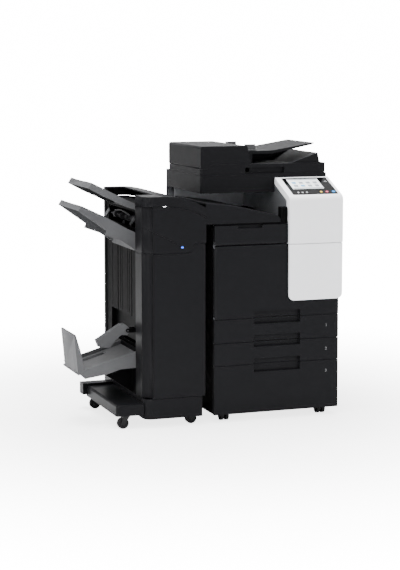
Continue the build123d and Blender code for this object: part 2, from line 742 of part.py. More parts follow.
with BuildPart() as feeder_base:
    block(feeder_x, feeder_y, feeder_z, corner=8)
    # exit bed ramp between the front rim and the rear housing
    front_prism(
        [(440, feeder_z[1] - 1), (440, feeder_z[1]), bed_peak, (580, feeder_z[1]), (580, feeder_z[1] - 1)],
        (180, rear_house_y),
    )
    side_prism(
        [
            (350, feeder_z[1] - 1),
            (350, feeder_z[1] + 6),
            (rear_house_y, rear_house_top),
            (feeder_y[1], rear_house_top),
            (feeder_y[1], feeder_z[1] - 1),
        ],
        (590, rear_house_x[1]),
    )
    block(rear_house_x, (rear_house_y, feeder_y[1]), (feeder_z[1] - 1, rear_house_top))
    # the paper path under the cover, and the stepped left rim
    block((6, 236), path_y, (feeder_z[0] + 10, feeder_z[1] + 1), Mode.SUBTRACT)
    front_prism(
        [
            (feeder_x[0] - 1, step_z),
            (step_x[0], step_z),
            (step_x[1], feeder_z[1]),
            (step_x[1], feeder_z[1] + 1),
            (feeder_x[0] - 1, feeder_z[1] + 1),
        ],
        (feeder_y[0] - 1, feeder_y[1] + 1),
        Mode.SUBTRACT,
    )
    # mouldings are hollow from below
    block((250, body_width - 10), (192, 492), (feeder_z[0] - 1, feeder_z[1] - 6), Mode.SUBTRACT)
    block(
        (rear_house_x[0] + 6, rear_house_x[1] - 6),
        (rear_house_y + 6, feeder_y[1] - 6),
        (feeder_z[0] - 1, rear_house_top - 6),
        Mode.SUBTRACT,
    )
    block(grip_x, (feeder_y[0] - 1, feeder_y[0] + 16), (feeder_z[0] + 2, feeder_z[0] + 30), Mode.SUBTRACT)
    # lugs round the rear hinge pins
    for centre in hinge_centres:
        x = (centre - lug_half, centre + lug_half)
        rod_x(hinge_axis, lug_radius, x)
        block(x, (feeder_y[1] - 6, hinge_axis[0]), (hinge_axis[1] - 8, hinge_axis[1] + 8))
        rod_x(hinge_axis, hinge_pin + run_gap, x, Mode.SUBTRACT)
    # cheeks of the feed roller shaft
    for y in ((path_y[0], path_y[0] + 5), (path_y[1] - 5, path_y[1])):
        block((roller_axis[0] - 12, roller_axis[0] + 12), y, (feeder_z[0] + 10, roller_axis[1] + 10))
        rod_y(roller_axis, roller_shaft + run_gap, y, Mode.SUBTRACT)
    # ears of the cover's hinge
    for y in cover_ears:
        rod_y(cover_axis, 4.5, y)
        block((feeder_x[0] + 2, 10), y, (step_z - 6, step_z + 3))
        rod_y(cover_axis, 2 + run_gap, y, Mode.SUBTRACT)
    # lugs of the document tray
    for y in ((doc_y[0] - 8, doc_y[0] - 2), (doc_y[1] + 2, doc_y[1] + 8)):
        block((tray_hinge[0] - 9, tray_hinge[0] + 9), y, (feeder_z[1] - 1, tray_hinge[1]))
        rod_y(tray_hinge, 9, y)
        rod_y(tray_hinge, pin_radius + run_gap, y, Mode.SUBTRACT)
save(feeder_base, "feeder_base")

cover_low = feeder_z[1] + rest_gap
cover_outline = [
    (cover_axis[0], step_z + rest_gap),
    (feeder_x[0], cover_axis[1]),
    (feeder_x[0], feeder_top),
    (cover_right_top, feeder_top),
    (cover_right_low, cover_low),
    (step_x[1], cover_low),
    (step_x[0], step_z + rest_gap),
]
cover_hollow = [
    (4.0, step_z - 4),
    (4.0, feeder_top - 6),
    (cover_right_top - 6, feeder_top - 6),
    (cover_right_low - 7, cover_low),
    (cover_right_low - 7, step_z - 4),
]
with BuildPart() as feeder_cover:
    front_prism(cover_outline, feeder_y)
    fillet(feeder_cover.edges().filter_by(Axis.Y).group_by(Axis.Z)[-1].sort_by(Axis.X)[0], 10)
    fillet(feeder_cover.edges().filter_by(Axis.Y).group_by(Axis.Z)[-1].sort_by(Axis.X)[-1], 6)
    rod_y(cover_axis, 5, feeder_y)
    front_prism(cover_hollow, (feeder_y[0] + 5, feeder_y[1] - 5), Mode.SUBTRACT)
    for y in cover_ears:
        notch_y = (y[0] - 1, y[1] + 1)
        block((feeder_x[0] - 1, 11), notch_y, (step_z - 1, cover_axis[1] + 8), Mode.SUBTRACT)
    for y in cover_ears:
        rod_y(cover_axis, 2, (y[0] - 2, y[1] + 2))
save(feeder_cover, "feeder_cover")

with BuildPart() as feed_rollers:
    rod_y(roller_axis, roller_shaft, (path_y[0] + 0.5, path_y[1] - 0.5))
    for y in (path_y[0] + 72, sum(path_y) / 2 - 15, path_y[1] - 102):
        rod_y(roller_axis, 13, (y, y + 30))
save(feed_rollers, "feed_rollers")

doc_flat = (245.0, 365.0)
doc_top = tray_hinge[1] + 9.0
doc_tip = (571.0, doc_top + 33.0)
doc_thickness = 5.0
with BuildPart() as document_tray:
    front_prism(
        [
            (doc_flat[0], doc_top),
            (doc_flat[1], doc_top),
            doc_tip,
            (doc_tip[0] + 1, doc_tip[1] - doc_thickness),
            (doc_flat[1], doc_top - doc_thickness),
            (doc_flat[0], doc_top - doc_thickness),
        ],
        doc_y,
    )
    for y in ((doc_y[0], doc_y[0] + 8), (doc_y[1] - 8, doc_y[1])):
        rod_y(tray_hinge, 6, y)
        # stiffening ribs under both edges
        front_prism(
            [
                (tray_hinge[0], doc_top - 1),
                (doc_flat[1], doc_top - 1),
                (doc_tip[0] - 8, doc_tip[1] - 3),
                (doc_tip[0] - 8, doc_tip[1] - 9),
                (doc_flat[1], doc_top - 14),
                (tray_hinge[0], doc_top - 14),
            ],
            y,
        )
    rod_y(tray_hinge, pin_radius, (doc_y[0] - 8, doc_y[0] + 1))
    rod_y(tray_hinge, pin_radius, (doc_y[1] - 1, doc_y[1] + 8))
save(document_tray, "document_tray")

guide_x = (doc_flat[0] - 4, doc_flat[0] + 50)
guide_rise = 29.0
guide_y = {
    "guide_front": (doc_y[0] + 32.0, doc_y[0] + 35.0, 14.0),
    "guide_rear": (doc_y[1] - 35.0, doc_y[1] - 32.0, -14.0),
}
for name, (front, back, foot) in guide_y.items():
    with BuildPart() as guide:
        block(guide_x, (front, back), (doc_top + rest_gap, doc_top + guide_rise))
        foot_y = (front - foot, back) if foot > 0 else (front, back - foot)
        block((guide_x[0] + 4, guide_x[1]), foot_y, (doc_top + rest_gap, doc_top + 3))
    save(guide, name)

# ---------------------------------------------------------------- finisher
def corner_wall(inset, thickness, back):
    """Plan of the front wall, the round corner and the short left wall, as one strip."""
    outer = fin_corner - inset
    inner = outer - thickness
    centre = (fin_left + fin_corner, fin_corner)
    with BuildLine() as outline:
        right_out = (fin_right, inset)
        Line(right_out, (centre[0], inset))
        RadiusArc((centre[0], inset), (fin_left + inset, centre[1]), -outer)
        Line((fin_left + inset, centre[1]), (fin_left + inset, back))
        Line((fin_left + inset, back), (fin_left + inset + thickness, back))
        Line((fin_left + inset + thickness, back), (fin_left + inset + thickness, centre[1]))
        RadiusArc((fin_left + inset + thickness, centre[1]), (centre[0], inset + thickness), inner)
        Line((centre[0], inset + thickness), (fin_right, inset + thickness))
        Line((fin_right, inset + thickness), right_out)
    make_face(outline.edges())


def top_curve(drop, left, right):
    """The falling line of the finisher's top, moved down by drop: flat, then an arc, then flat."""
    start = (fin_left + fin_flat, fin_top - drop)
    end_x = min(right, fin_right)
    fall = arc_radius - math.sqrt(arc_radius**2 - (end_x - start[0]) ** 2)
    end = (end_x, start[1] - fall)
    Line((left, fin_top - drop), start)
    RadiusArc(start, end, arc_radius)
    if right > fin_right:
        Line(end, (right, end[1]))
    return (right, end[1])


def top_band(drop_high, low_z, left, right, y, mode=Mode.ADD):
    """Solid under the top curve, down to a level, between two sides."""
    with BuildSketch(elevation(y[1])) as profile:
        with BuildLine():
            end = top_curve(drop_high, left, right)
            Polyline(end, (right, low_z), (left, low_z), (left, fin_top - drop_high))
        make_face()
    extrude(profile.sketch, amount=y[1] - y[0], mode=mode)


fin_seam_line = [
    (fin_left - 10, fin_seam_z),
    (fin_left + 199, fin_seam_z),
    (fin_left + 219, fin_seam_z + 8),
    (fin_left + 231, fin_seam_z + fin_seam_rise - 8),
    (fin_left + 243, fin_seam_z + fin_seam_rise),
    (fin_right + 10, fin_seam_z + fin_seam_rise),
]
door_hinge = (fin_right - hinge_radius, hinge_radius)

with BuildPart() as finisher_door:
    with BuildSketch(plan(fin_door_z)) as strip:
        corner_wall(0, fin_wall, fin_return)
    extrude(strip.sketch, amount=fin_seam_z + fin_seam_rise - fin_door_z)
    above = [(x, z - seam / 2) for x, z in fin_seam_line]
    front_prism(above + [(fin_right + 10, 900), (fin_left - 10, 900)], (-1, fin_return + 1), Mode.SUBTRACT)
    # round hinge edge, notched for the ears
    door_top = fin_seam_z + fin_seam_rise - seam / 2
    block(
        (fin_right - 2 * hinge_radius, fin_right),
        (-1, fin_wall + 1),
        (fin_door_z, door_top),
        Mode.SUBTRACT,
    )
    rod_z(door_hinge, hinge_radius, (fin_door_z, door_top))
    block((fin_right - 3 * hinge_radius, door_hinge[0]), (0, fin_wall), (fin_door_z, door_top))
    for z in ((fin_door_z - 1, fin_door_z + notch), (door_top - notch, door_top + 1)):
        block((door_hinge[0] - 13, fin_right + 1), (door_skin - 1, door_thickness + 1), z, Mode.SUBTRACT)
    rod_z(door_hinge, pin_radius, (fin_door_z + 1, fin_door_z + notch))
    rod_z(door_hinge, pin_radius, (door_top - notch, door_top - 1))
save(finisher_door, "finisher_door")

led_x = fin_left + 175.0
led_z = fin_seam_z + 26.0
groove_rise = 93.0
groove_half = 2.5
with BuildPart() as groove_tool:
    with BuildSketch(plan(fin_seam_z)) as groove_strip:
        corner_wall(-1, 4, fin_return)
    extrude(groove_strip.sketch, amount=200)
    front_prism(
        [
            (led_x, led_z - groove_half),
            (led_x, led_z + groove_half),
            (fin_left - 5, led_z + groove_rise + groove_half),
            (fin_left - 5, led_z + groove_rise - groove_half),
        ],
        (-5, fin_return - 90),
        Mode.INTERSECT,
    )

with BuildPart() as finisher_upper_cover:
    with BuildSketch(plan(fin_seam_z)) as strip:
        corner_wall(0, fin_wall, fin_return)
    extrude(strip.sketch, amount=fin_top - fin_seam_z)
    below = [(x, z + seam / 2) for x, z in fin_seam_line]
    front_prism(below + [(fin_right + 10, 700), (fin_left - 10, 700)], (-1, fin_return + 1), Mode.SUBTRACT)
    with BuildSketch(elevation(fin_return + 1)) as over:
        with BuildLine():
            end = top_curve(top_cover_height + seam, fin_left - 10, fin_right + 10)
            Polyline(
                end,
                (end[0], fin_top + 20),
                (fin_left - 10, fin_top + 20),
                (fin_left - 10, fin_top - top_cover_height - seam),
            )
        make_face()
    extrude(over.sketch, amount=fin_return + 2, mode=Mode.SUBTRACT)
    add(groove_tool.part, mode=Mode.SUBTRACT)
save(finisher_upper_cover, "finisher_upper_cover")

top_y = (0.0, finisher_depth)
mouth_x = (fin_left - 1, fin_left + fin_flat)
with BuildPart() as finisher_top_cover:
    with BuildSketch(elevation(top_y[1])) as band:
        with BuildLine():
            end = top_curve(0, fin_left, fin_right)
            low_end = (fin_right, end[1] - top_cover_height)
            Line(end, low_end)
            RadiusArc(low_end, (fin_left + fin_flat, fin_top - top_cover_height), -arc_radius)
            Polyline(
                (fin_left + fin_flat, fin_top - top_cover_height),
                (fin_left, fin_top - top_cover_height),
                (fin_left, fin_top),
            )
        make_face()
    extrude(band.sketch, amount=top_y[1])
    fillet(finisher_top_cover.edges().filter_by(Axis.Z).group_by(Axis.Y)[0].sort_by(Axis.X)[0], fin_corner)
    fillet(
        finisher_top_cover.edges().filter_by(Axis.Z).group_by(Axis.Y)[-1].sort_by(Axis.X)[0],
        fin_corner / 2,
    )
    top_band(
        top_skin,
        900,
        fin_left + fin_wall,
        fin_right - top_skin,
        (fin_wall, finisher_depth - fin_wall),
        Mode.SUBTRACT,
    )
    block(mouth_x, (side_wall_y[0] + 2, side_wall_y[1] - 2), (900, fin_top + 1), Mode.SUBTRACT)
save(finisher_top_cover, "finisher_top_cover")

post_z = (fin_door_z, fin_top - top_cover_height - seam)
with BuildPart() as finisher_rear_cover:
    with BuildSketch(plan(post_z[0])) as shell:
        with Locations(((fin_left + fin_right) / 2, (rear_post_y + finisher_depth) / 2)):
            Rectangle(finisher_width, finisher_depth - rear_post_y)
        fillet(shell.vertices().group_by(Axis.Y)[-1].sort_by(Axis.X)[0], fin_corner / 2)
    extrude(shell.sketch, amount=post_z[1] - post_z[0])
    block((fin_left + fin_wall, fin_right - 4), (rear_post_y, finisher_depth - 6), post_z, Mode.SUBTRACT)
    with BuildSketch(elevation(finisher_depth + 1)) as over:
        with BuildLine():
            end = top_curve(top_cover_height + seam, fin_left - 10, fin_right + 10)
            Polyline(
                end,
                (end[0], fin_top + 20),
                (fin_left - 10, fin_top + 20),
                (fin_left - 10, fin_top - top_cover_height - seam),
            )
        make_face()
    extrude(over.sketch, amount=60, mode=Mode.SUBTRACT)
save(finisher_rear_cover, "finisher_rear_cover")

plinth_x = (fin_left + seam, fin_right - 17.0)
plinth_y = (seam, finisher_depth - seam)
plinth_wall = 8.0
with BuildPart() as finisher_plinth:
    with BuildSketch(plan(fin_plinth_z[0])) as ring:
        with Locations((sum(plinth_x) / 2, sum(plinth_y) / 2)):
            Rectangle(plinth_x[1] - plinth_x[0], plinth_y[1] - plinth_y[0])
        fillet(ring.vertices().group_by(Axis.Y)[0].sort_by(Axis.X)[0], fin_corner - seam)
        offset(amount=-plinth_wall, mode=Mode.SUBTRACT)
    extrude(ring.sketch, amount=fin_plinth_z[1] - fin_plinth_z[0])
save(finisher_plinth, "finisher_plinth")

deck_x = (plinth_x[0] + plinth_wall, plinth_x[1] - plinth_wall)
shelf_x = (side_wall_x[1] - 4, fin_right - seam)
with BuildPart() as finisher_frame:
    block(deck_x, (44, plinth_y[1] - plinth_wall), floor_z)
    block((deck_x[0] + 34, deck_x[1]), (plinth_y[0] + plinth_wall, 46), floor_z)
    for x in ((deck_x[0] + 40, deck_x[0] + 44), (deck_x[1] - 8, deck_x[1] - 4)):
        block(x, (60, 590), (floor_z[1], fin_plinth_z[1]))
    block(shelf_x, (46, rear_post_y - 2), (fin_plinth_z[1], fin_plinth_z[1] + 6))
    block((shelf_x[0] + 34, shelf_x[1]), (fin_wall + 14, 48), (fin_plinth_z[1], fin_plinth_z[1] + 6))
    block((shelf_x[1] - plate, shelf_x[1]), (30, rear_post_y - 2), (fin_plinth_z[1], 900))
    block(shelf_x, (rear_post_y - 6, rear_post_y - 2), (fin_plinth_z[1], 915))
    block((shelf_x[0] + 30, shelf_x[1]), (30, rear_post_y - 2), (896, 900))
    # posts under the top cover, and the sill that the rear cover stands on
    post_x = (shelf_x[0] + 30, shelf_x[0] + 50)
    block(post_x, (30, 46), (896, fin_top - top_skin))
    block(post_x, (rear_post_y - 6, rear_post_y + 12), (880, fin_top - top_skin))
    block((fin_left + 4, shelf_x[1]), (rear_post_y - 8, finisher_depth - 6), (fin_plinth_z[1], fin_door_z))
    # recessed left wall with its guide grooves and upright ribs
    block(side_wall_x, side_wall_y, (fin_plinth_z[1], side_wall_top))
    block((side_wall_x[1] - 3, side_wall_x[1]), (100, rear_post_y - 2), (fin_plinth_z[1], side_wall_top))
    for y in (236.0, 262.0, 350.0, 376.0, 500.0):
        block((side_wall_x[0], side_wall_x[0] + 3), (y, y + 6), (480, 860), Mode.SUBTRACT)
    for y in groove_y:
        block((side_wall_x[0], side_wall_x[0] + 7), (y, y + groove_width), (440, 866), Mode.SUBTRACT)
    block(side_wall_x, exit_window_y, exit_window_z, Mode.SUBTRACT)
    block(side_wall_x, booklet_window_y, booklet_window_z, Mode.SUBTRACT)
    # the mouth's sloping floor
    front_prism(
        [
            (side_wall_x[1], side_wall_top - 6),
            (side_wall_x[1], side_wall_top),
            (fin_left + fin_flat - 4, side_wall_top + 24),
            (fin_left + fin_flat - 4, side_wall_top + 16),
        ],
        side_wall_y,
    )
    block((fin_left + fin_flat - 8, fin_left + fin_flat - 4), side_wall_y, (896, side_wall_top + 22))
    # pocket behind the booklet window, with its outlet slot and the ears of the press arm
    pocket = (side_wall_x[1], side_wall_x[1] + 16)
    block(
        pocket,
        (booklet_window_y[0] - 4, booklet_window_y[1] + 4),
        (booklet_window_z[0] - 4, booklet_window_z[1] + 4),
    )
    block((pocket[0] - 1, pocket[1] - 4), booklet_window_y, booklet_window_z, Mode.SUBTRACT)
    block(pocket, (190, 480), (booklet_window_z[0] + 6, booklet_window_z[0] + 20), Mode.SUBTRACT)
    for y in ((arm_y[0] - 7, arm_y[0] - 1), (arm_y[1] + 1, arm_y[1] + 7)):
        block((arm_pin[0], pocket[1] - 3), y, (arm_pin[1] - 9, arm_pin[1] + 9))
        rod_y(arm_pin, 9, y)
        rod_y(arm_pin, pin_radius + run_gap, y, Mode.SUBTRACT)
    # cheeks of the exit roller shaft
    for y in ((exit_window_y[0] - 6, exit_window_y[0]), (exit_window_y[1], exit_window_y[1] + 6)):
        block(
            (side_wall_x[1], side_wall_x[1] + 20),
            y,
            (exit_roller_axis[1] - 16, exit_roller_axis[1] + 16),
        )
        rod_y(exit_roller_axis, 5 + run_gap, y, Mode.SUBTRACT)
    # dark bracket below the booklet tray
    front_prism(
        [
            (side_wall_x[0], 246),
            (fin_left - 66, 243),
            (fin_left - 112, 206),
            (side_wall_x[0], fin_plinth_z[1]),
        ],
        (200, 430),
    )
    # ears of the front door's hinge
    for z in (fin_door_z + 1, door_top - 1 - ear_height):
        rod_z(door_hinge, ear_radius, (z, z + ear_height))
        block((door_hinge[0] - ear_arm, door_hinge[0] + ear_arm), (door_hinge[1], 40), (z, z + ear_height))
        rod_z(door_hinge, pin_radius + run_gap, (z, z + ear_height), Mode.SUBTRACT)
save(finisher_frame, "finisher_frame")

with BuildPart() as exit_rollers:
    rod_y(exit_roller_axis, 5, (exit_window_y[0] - 5.5, exit_window_y[1] + 5.5))
    for y in (196, 286, 376, 466):
        rod_y(exit_roller_axis, 15, (y, y + 26))
save(exit_rollers, "exit_rollers")

base_x = (fin_left - 123.0, fin_left + seam)
base_y = (20.0, 520.0)
base_z = (caster_deck_z, 108.0)
with BuildPart() as stabiliser_base:
    block(base_x, base_y, base_z)
    fillet(stabiliser_base.edges().filter_by(Axis.Z).group_by(Axis.X)[0], 14)
    fillet(stabiliser_base.faces().sort_by(Axis.Z)[-1].edges().group_by(Axis.X)[0], 9)
    block((base_x[0] - 22, base_x[1]), (base_y[1] - 30, base_y[1] + 26), (base_z[0] + 10, base_z[1] + 12))
    block(
        (base_x[0] + 8, base_x[1] - 8),
        (base_y[0] + 8, base_y[1] - 8),
        (base_z[0] + 8, base_z[1] - 8),
        Mode.SUBTRACT,
    )
    block(
        (base_x[0] + 90, base_x[1] - 8),
        (base_y[0] + 100, base_y[1] - 120),
        (base_z[0] - 1, base_z[0] + 9),
        Mode.SUBTRACT,
    )
    for centre in finisher_swivels.values():
        rod_z(centre, kingpin_radius + run_gap, (base_z[0] - 1, base_z[0] + 9), Mode.SUBTRACT)
save(stabiliser_base, "stabiliser_base")

# ---------------------------------------------------------------- finisher trays
flange = 6.0
lip_notch_y = (tray_y[0] + 122.0, tray_y[0] + 288.0)
upper_side = [
    (0.0, 0.0),
    (0.0, 23.0),
    (-9.0, 29.0),
    (-37.0, 41.0),
    (-147.0, 97.0),
    (-201.0, 124.0),
    (-217.0, 99.0),
    (-148.0, 62.0),
    (-84.0, 33.0),
    (-40.0, 11.0),
    (-20.0, 4.0),
]
upper_bed = [
    (0.0, 7.0),
    (0.0, 13.0),
    (-9.0, 19.0),
    (-37.0, 33.0),
    (-147.0, 88.0),
    (-205.0, 115.0),
    (-205.0, 109.0),
    (-147.0, 82.0),
    (-37.0, 27.0),
    (-9.0, 13.0),
]
upper_lip = [(-197.0, 119.0), (-201.0, 124.0), (-217.0, 99.0), (-209.0, 101.0)]
upper_root = (tray_root, side_wall_top)


def at_root(root, points):
    """Points given from a tray's root, as places on the machine."""
    return [(root[0] + x, root[1] + z) for x, z in points]


def end_lip(root, points):
    """The turned-down end of a tray, with a shallow finger recess at its middle."""
    front_prism(at_root(root, points), tray_y)
    outer, low = points[1], points[2]
    recess = [
        (outer[0] - 6, outer[1] + 6),
        (outer[0] + 1.5, outer[1] - 1),
        (low[0] + 2.5, low[1] + 3),
        (low[0] - 6, low[1] + 3),
    ]
    front_prism(at_root(root, recess), lip_notch_y, Mode.SUBTRACT)


with BuildPart() as upper_output_tray:
    for y in ((tray_y[0], tray_y[0] + flange), (tray_y[1] - flange, tray_y[1])):
        front_prism(at_root(upper_root, upper_side), y)
    front_prism(at_root(upper_root, upper_bed), tray_y)
    end_lip(upper_root, upper_lip)
    block((tray_root - 1, tray_root + 9), tray_y, (side_wall_top, side_wall_top + 12))
save(upper_output_tray, "upper_output_tray")

lower_root = (side_wall_x[0] - rest_gap, 774.0)
lower_side = [
    (0.0, 0.0),
    (0.0, 76.0),
    (-9.0, 84.0),
    (-37.0, 96.0),
    (-148.0, 158.0),
    (-238.0, 201.0),
    (-248.0, 205.0),
    (-tray_reach - side_wall_x[0] + fin_left + rest_gap, 183.0),
    (-228.0, 158.0),
    (-134.0, 91.0),
    (-143.0, 73.0),
    (-68.0, 46.0),
    (-29.0, 20.0),
]
lower_bed = [
    (0.0, 58.0),
    (0.0, 66.0),
    (-37.0, 86.0),
    (-148.0, 148.0),
    (-238.0, 191.0),
    (-250.0, 197.0),
    (-250.0, 190.0),
    (-238.0, 184.0),
    (-148.0, 141.0),
    (-37.0, 79.0),
]
lower_lip = [
    (-243.0, 200.0),
    (-248.0, 205.0),
    (-tray_reach - side_wall_x[0] + fin_left + rest_gap, 183.0),
    (-255.0, 185.0),
]
with BuildPart() as lower_output_tray:
    for y in ((tray_y[0], tray_y[0] + flange), (tray_y[1] - flange, tray_y[1])):
        front_prism(at_root(lower_root, lower_side), y)
    front_prism(at_root(lower_root, lower_bed), tray_y)
    end_lip(lower_root, lower_lip)
    block((lower_root[0] - 8, lower_root[0]), tray_y, (lower_root[1], lower_root[1] + 68))
    # tongues that run in the wall's grooves
    for y in groove_y:
        block(
            (lower_root[0] - 1, lower_root[0] + 6),
            (y + rest_gap, y + groove_width - rest_gap),
            (lower_root[1] + 14, lower_root[1] + 64),
        )
save(lower_output_tray, "lower_output_tray")

booklet_root = (side_wall_x[0], 248.0)
booklet_wall = 12.0
booklet_y = (tray_y[0], 389.0)
booklet_side = [(0.0, 73.0), (0.0, 0.0), (-74.0, -3.0), (-138.0, -22.0), (-237.0, -36.0), (-270.0, -6.0)]
booklet_bed = [(0.0, 68.0), (-272.0, -10.0), (-268.0, -18.0), (0.0, 60.0)]
booklet_stop = [
    (-270.0, -8.0),
    (-booklet_reach - side_wall_x[0] + fin_left, 161.0),
    (-278.0, 163.0),
    (-256.0, 88.0),
    (-240.0, 4.0),
    (-250.0, -22.0),
]
with BuildPart() as booklet_tray:
    front_prism([(booklet_root[0] + x, booklet_root[1] + z) for x, z in booklet_bed], booklet_y)
    near = [(booklet_root[0] + x, booklet_root[1] + z) for x, z in booklet_side]
    front_prism(near, (booklet_y[0], booklet_y[0] + booklet_wall))
    far = [(x, z + 12) for x, z in near]
    front_prism(far, (booklet_y[1] - 8, booklet_y[1]))
    stop = [(booklet_root[0] + x, booklet_root[1] + z) for x, z in booklet_stop]
    front_prism(stop, (booklet_y[0], booklet_y[0] + 226))
    # long finger slot through the bed
    with BuildSketch(plan(200)) as slot:
        with Locations((booklet_root[0] - 150, 330)):
            SlotOverall(130, 42)
    extrude(slot.sketch, amount=160, mode=Mode.SUBTRACT)
save(booklet_tray, "booklet_tray")

arm_side = [
    (8.0, 12.0),
    (-14.0, 31.0),
    (-33.0, 30.0),
    (-146.0, -37.0),
    (-134.0, -67.0),
    (-84.0, -76.0),
    (-56.0, -40.0),
    (-28.0, -19.0),
    (-1.0, -21.0),
    (8.0, -8.0),
]
with BuildPart() as booklet_arm:
    front_prism([(arm_pin[0] + x, arm_pin[1] + z) for x, z in arm_side], arm_y)
    front_prism(
        [(arm_pin[0] + x * 0.8 - 8, arm_pin[1] + z * 0.7 - 4) for x, z in arm_side],
        (arm_y[0] + 7, arm_y[1] + 1),
        Mode.SUBTRACT,
    )
    rod_y(arm_pin, 9, arm_y)
    rod_y(arm_pin, pin_radius, (arm_y[0] - 7, arm_y[1] + 7))
save(booklet_arm, "booklet_arm")

# ---------------------------------------------------------------- casters
twin_web = 5.0
twin_width = 13.0
side_play = 0.6
fork_plate = 2.0
cheek = 4.0
single_width = 20.0


def twin_fork(centre, trail, swivels):
    """Housing of a twin-wheel caster; the axle runs along x, trail in front of the kingpin."""
    x, y = centre
    top = caster_deck_z - (rest_gap if swivels else 0)
    block((x - twin_web, x + twin_web), (y - trail - 10, y + 16), (wheel_radius + 6, top - 2))
    rod_x((y - trail, wheel_radius), 10, (x - twin_web, x + twin_web))
    block((x - twin_web, x + twin_web), (y - trail - 10, y - trail + 10), (wheel_radius, wheel_radius + 8))
    rod_z(centre, 17, (top - fork_plate, top))
    if swivels:
        rod_z(centre, kingpin_radius, (top - 1, floor_z[1] + 1))
        rod_z(centre, kingpin_radius + 3, (floor_z[1] + rest_gap, floor_z[1] + 3))
    rod_x((y - trail, wheel_radius), axle_radius + run_gap, (x - twin_web, x + twin_web), Mode.SUBTRACT)


def twin_wheel(centre, trail):
    x, y = centre
    hub = (y - trail, wheel_radius)
    for side in (-1, 1):
        near = x + side * (twin_web + side_play)
        far = near + side * twin_width
        rod_x(hub, wheel_radius, (min(near, far), max(near, far)))
        outer = (far - 3, far) if side > 0 else (far, far + 3)
        rod_x(hub, wheel_radius - 6, outer, Mode.SUBTRACT)
        rod_x(hub, wheel_radius - 14, outer)
    rod_x(hub, axle_radius, (x - twin_web - 2, x + twin_web + 2))


def single_fork(centre, trail, top, head):
    """Two cheeks round one wheel whose axle runs along y, trail to the left of the kingpin."""
    x, y = centre
    half = single_width / 2 + side_play
    rod_z(centre, 15, (top - fork_plate, top))
    for side in (-1, 1):
        inner = y + side * half
        outer = inner + side * cheek
        span = (min(inner, outer), max(inner, outer))
        front_prism(
            [
                (x - trail - 8, wheel_radius),
                (x - trail + 8, wheel_radius),
                (x + 12, top - fork_plate + 1),
                (x - trail - 4, top - fork_plate + 1),
            ],
            span,
        )
        rod_y((x - trail, wheel_radius), 8, span)
        block((x - trail - 4, x + 12), span, (top - fork_plate, top))
        rod_y((x - trail, wheel_radius), axle_radius + run_gap, span, Mode.SUBTRACT)
    block((x - trail - 4, x + 12), (y - half - cheek, y + half + cheek), (top - 3, top))
    if head:
        rod_z(centre, kingpin_radius, (top - 1, head + 1))
        rod_z(centre, kingpin_radius + 3, (head + rest_gap, head + 3))


def single_wheel(centre, trail):
    x, y = centre
    hub = (x - trail, wheel_radius)
    rod_y(hub, wheel_radius, (y - single_width / 2, y + single_width / 2))
    for side in (-1, 1):
        face = y + side * single_width / 2
        outer = (face - 3, face) if side > 0 else (face, face + 3)
        rod_y(hub, wheel_radius - 6, outer, Mode.SUBTRACT)
        rod_y(hub, wheel_radius - 14, outer)
    rod_y(hub, axle_radius, (y - single_width / 2 - 3, y + single_width / 2 + 3))


for name, centre in main_front_casters.items():
    with BuildPart() as fork:
        twin_fork(centre, main_trail, True)
    save(fork, f"{name}_fork")
    with BuildPart() as wheel:
        twin_wheel(centre, main_trail)
    save(wheel, f"{name}_wheel")

for name, centre in finisher_swivels.items():
    with BuildPart() as fork:
        single_fork(centre, finisher_trail, base_z[0] - rest_gap, base_z[0] + 8)
    save(fork, f"{name}_fork")
    with BuildPart() as wheel:
        single_wheel(centre, finisher_trail)
    save(wheel, f"{name}_wheel")

with BuildPart() as fixed_caster_forks:
    for x in main_rear_x:
        twin_fork((x, main_rear_y), 0, False)
    for y in finisher_fixed_y:
        single_fork((finisher_fixed_x, y), 0, floor_z[0], 0)
save(fixed_caster_forks, "fixed_caster_forks")

with BuildPart() as main_rear_wheels:
    for x in main_rear_x:
        twin_wheel((x, main_rear_y), 0)
save(main_rear_wheels, "main_rear_wheels")

with BuildPart() as finisher_right_wheels:
    for y in finisher_fixed_y:
        single_wheel((finisher_fixed_x, y), 0)
save(finisher_right_wheels, "finisher_right_wheels")
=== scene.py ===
import json
import math

import bmesh
import bpy
import numpy as np
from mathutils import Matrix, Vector


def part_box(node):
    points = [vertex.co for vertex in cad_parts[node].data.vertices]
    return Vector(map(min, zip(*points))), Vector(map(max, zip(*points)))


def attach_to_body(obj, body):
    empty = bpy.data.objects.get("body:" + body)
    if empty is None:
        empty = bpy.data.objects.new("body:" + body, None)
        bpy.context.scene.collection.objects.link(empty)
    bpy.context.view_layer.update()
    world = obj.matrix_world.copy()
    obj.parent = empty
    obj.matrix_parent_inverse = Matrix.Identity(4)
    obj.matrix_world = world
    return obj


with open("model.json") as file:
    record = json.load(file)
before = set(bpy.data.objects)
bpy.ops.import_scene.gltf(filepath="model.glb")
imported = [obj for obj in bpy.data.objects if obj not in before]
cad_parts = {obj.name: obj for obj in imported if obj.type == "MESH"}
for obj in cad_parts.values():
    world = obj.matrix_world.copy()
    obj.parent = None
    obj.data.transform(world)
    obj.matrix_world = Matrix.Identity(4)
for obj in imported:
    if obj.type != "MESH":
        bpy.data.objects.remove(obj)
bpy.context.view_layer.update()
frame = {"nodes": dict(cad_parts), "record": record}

record = frame["record"]
print("frame loaded:", len(frame["nodes"]), "nodes")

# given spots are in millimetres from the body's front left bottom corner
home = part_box("tray_3_face")[0]
sharpAngle = math.radians(38)


def spot(x, y, z):
    return np.array([home.x + x / 1000, home.y + y / 1000, z / 1000])


def unit(direction):
    direction = np.array(direction, float)
    return direction / np.linalg.norm(direction)


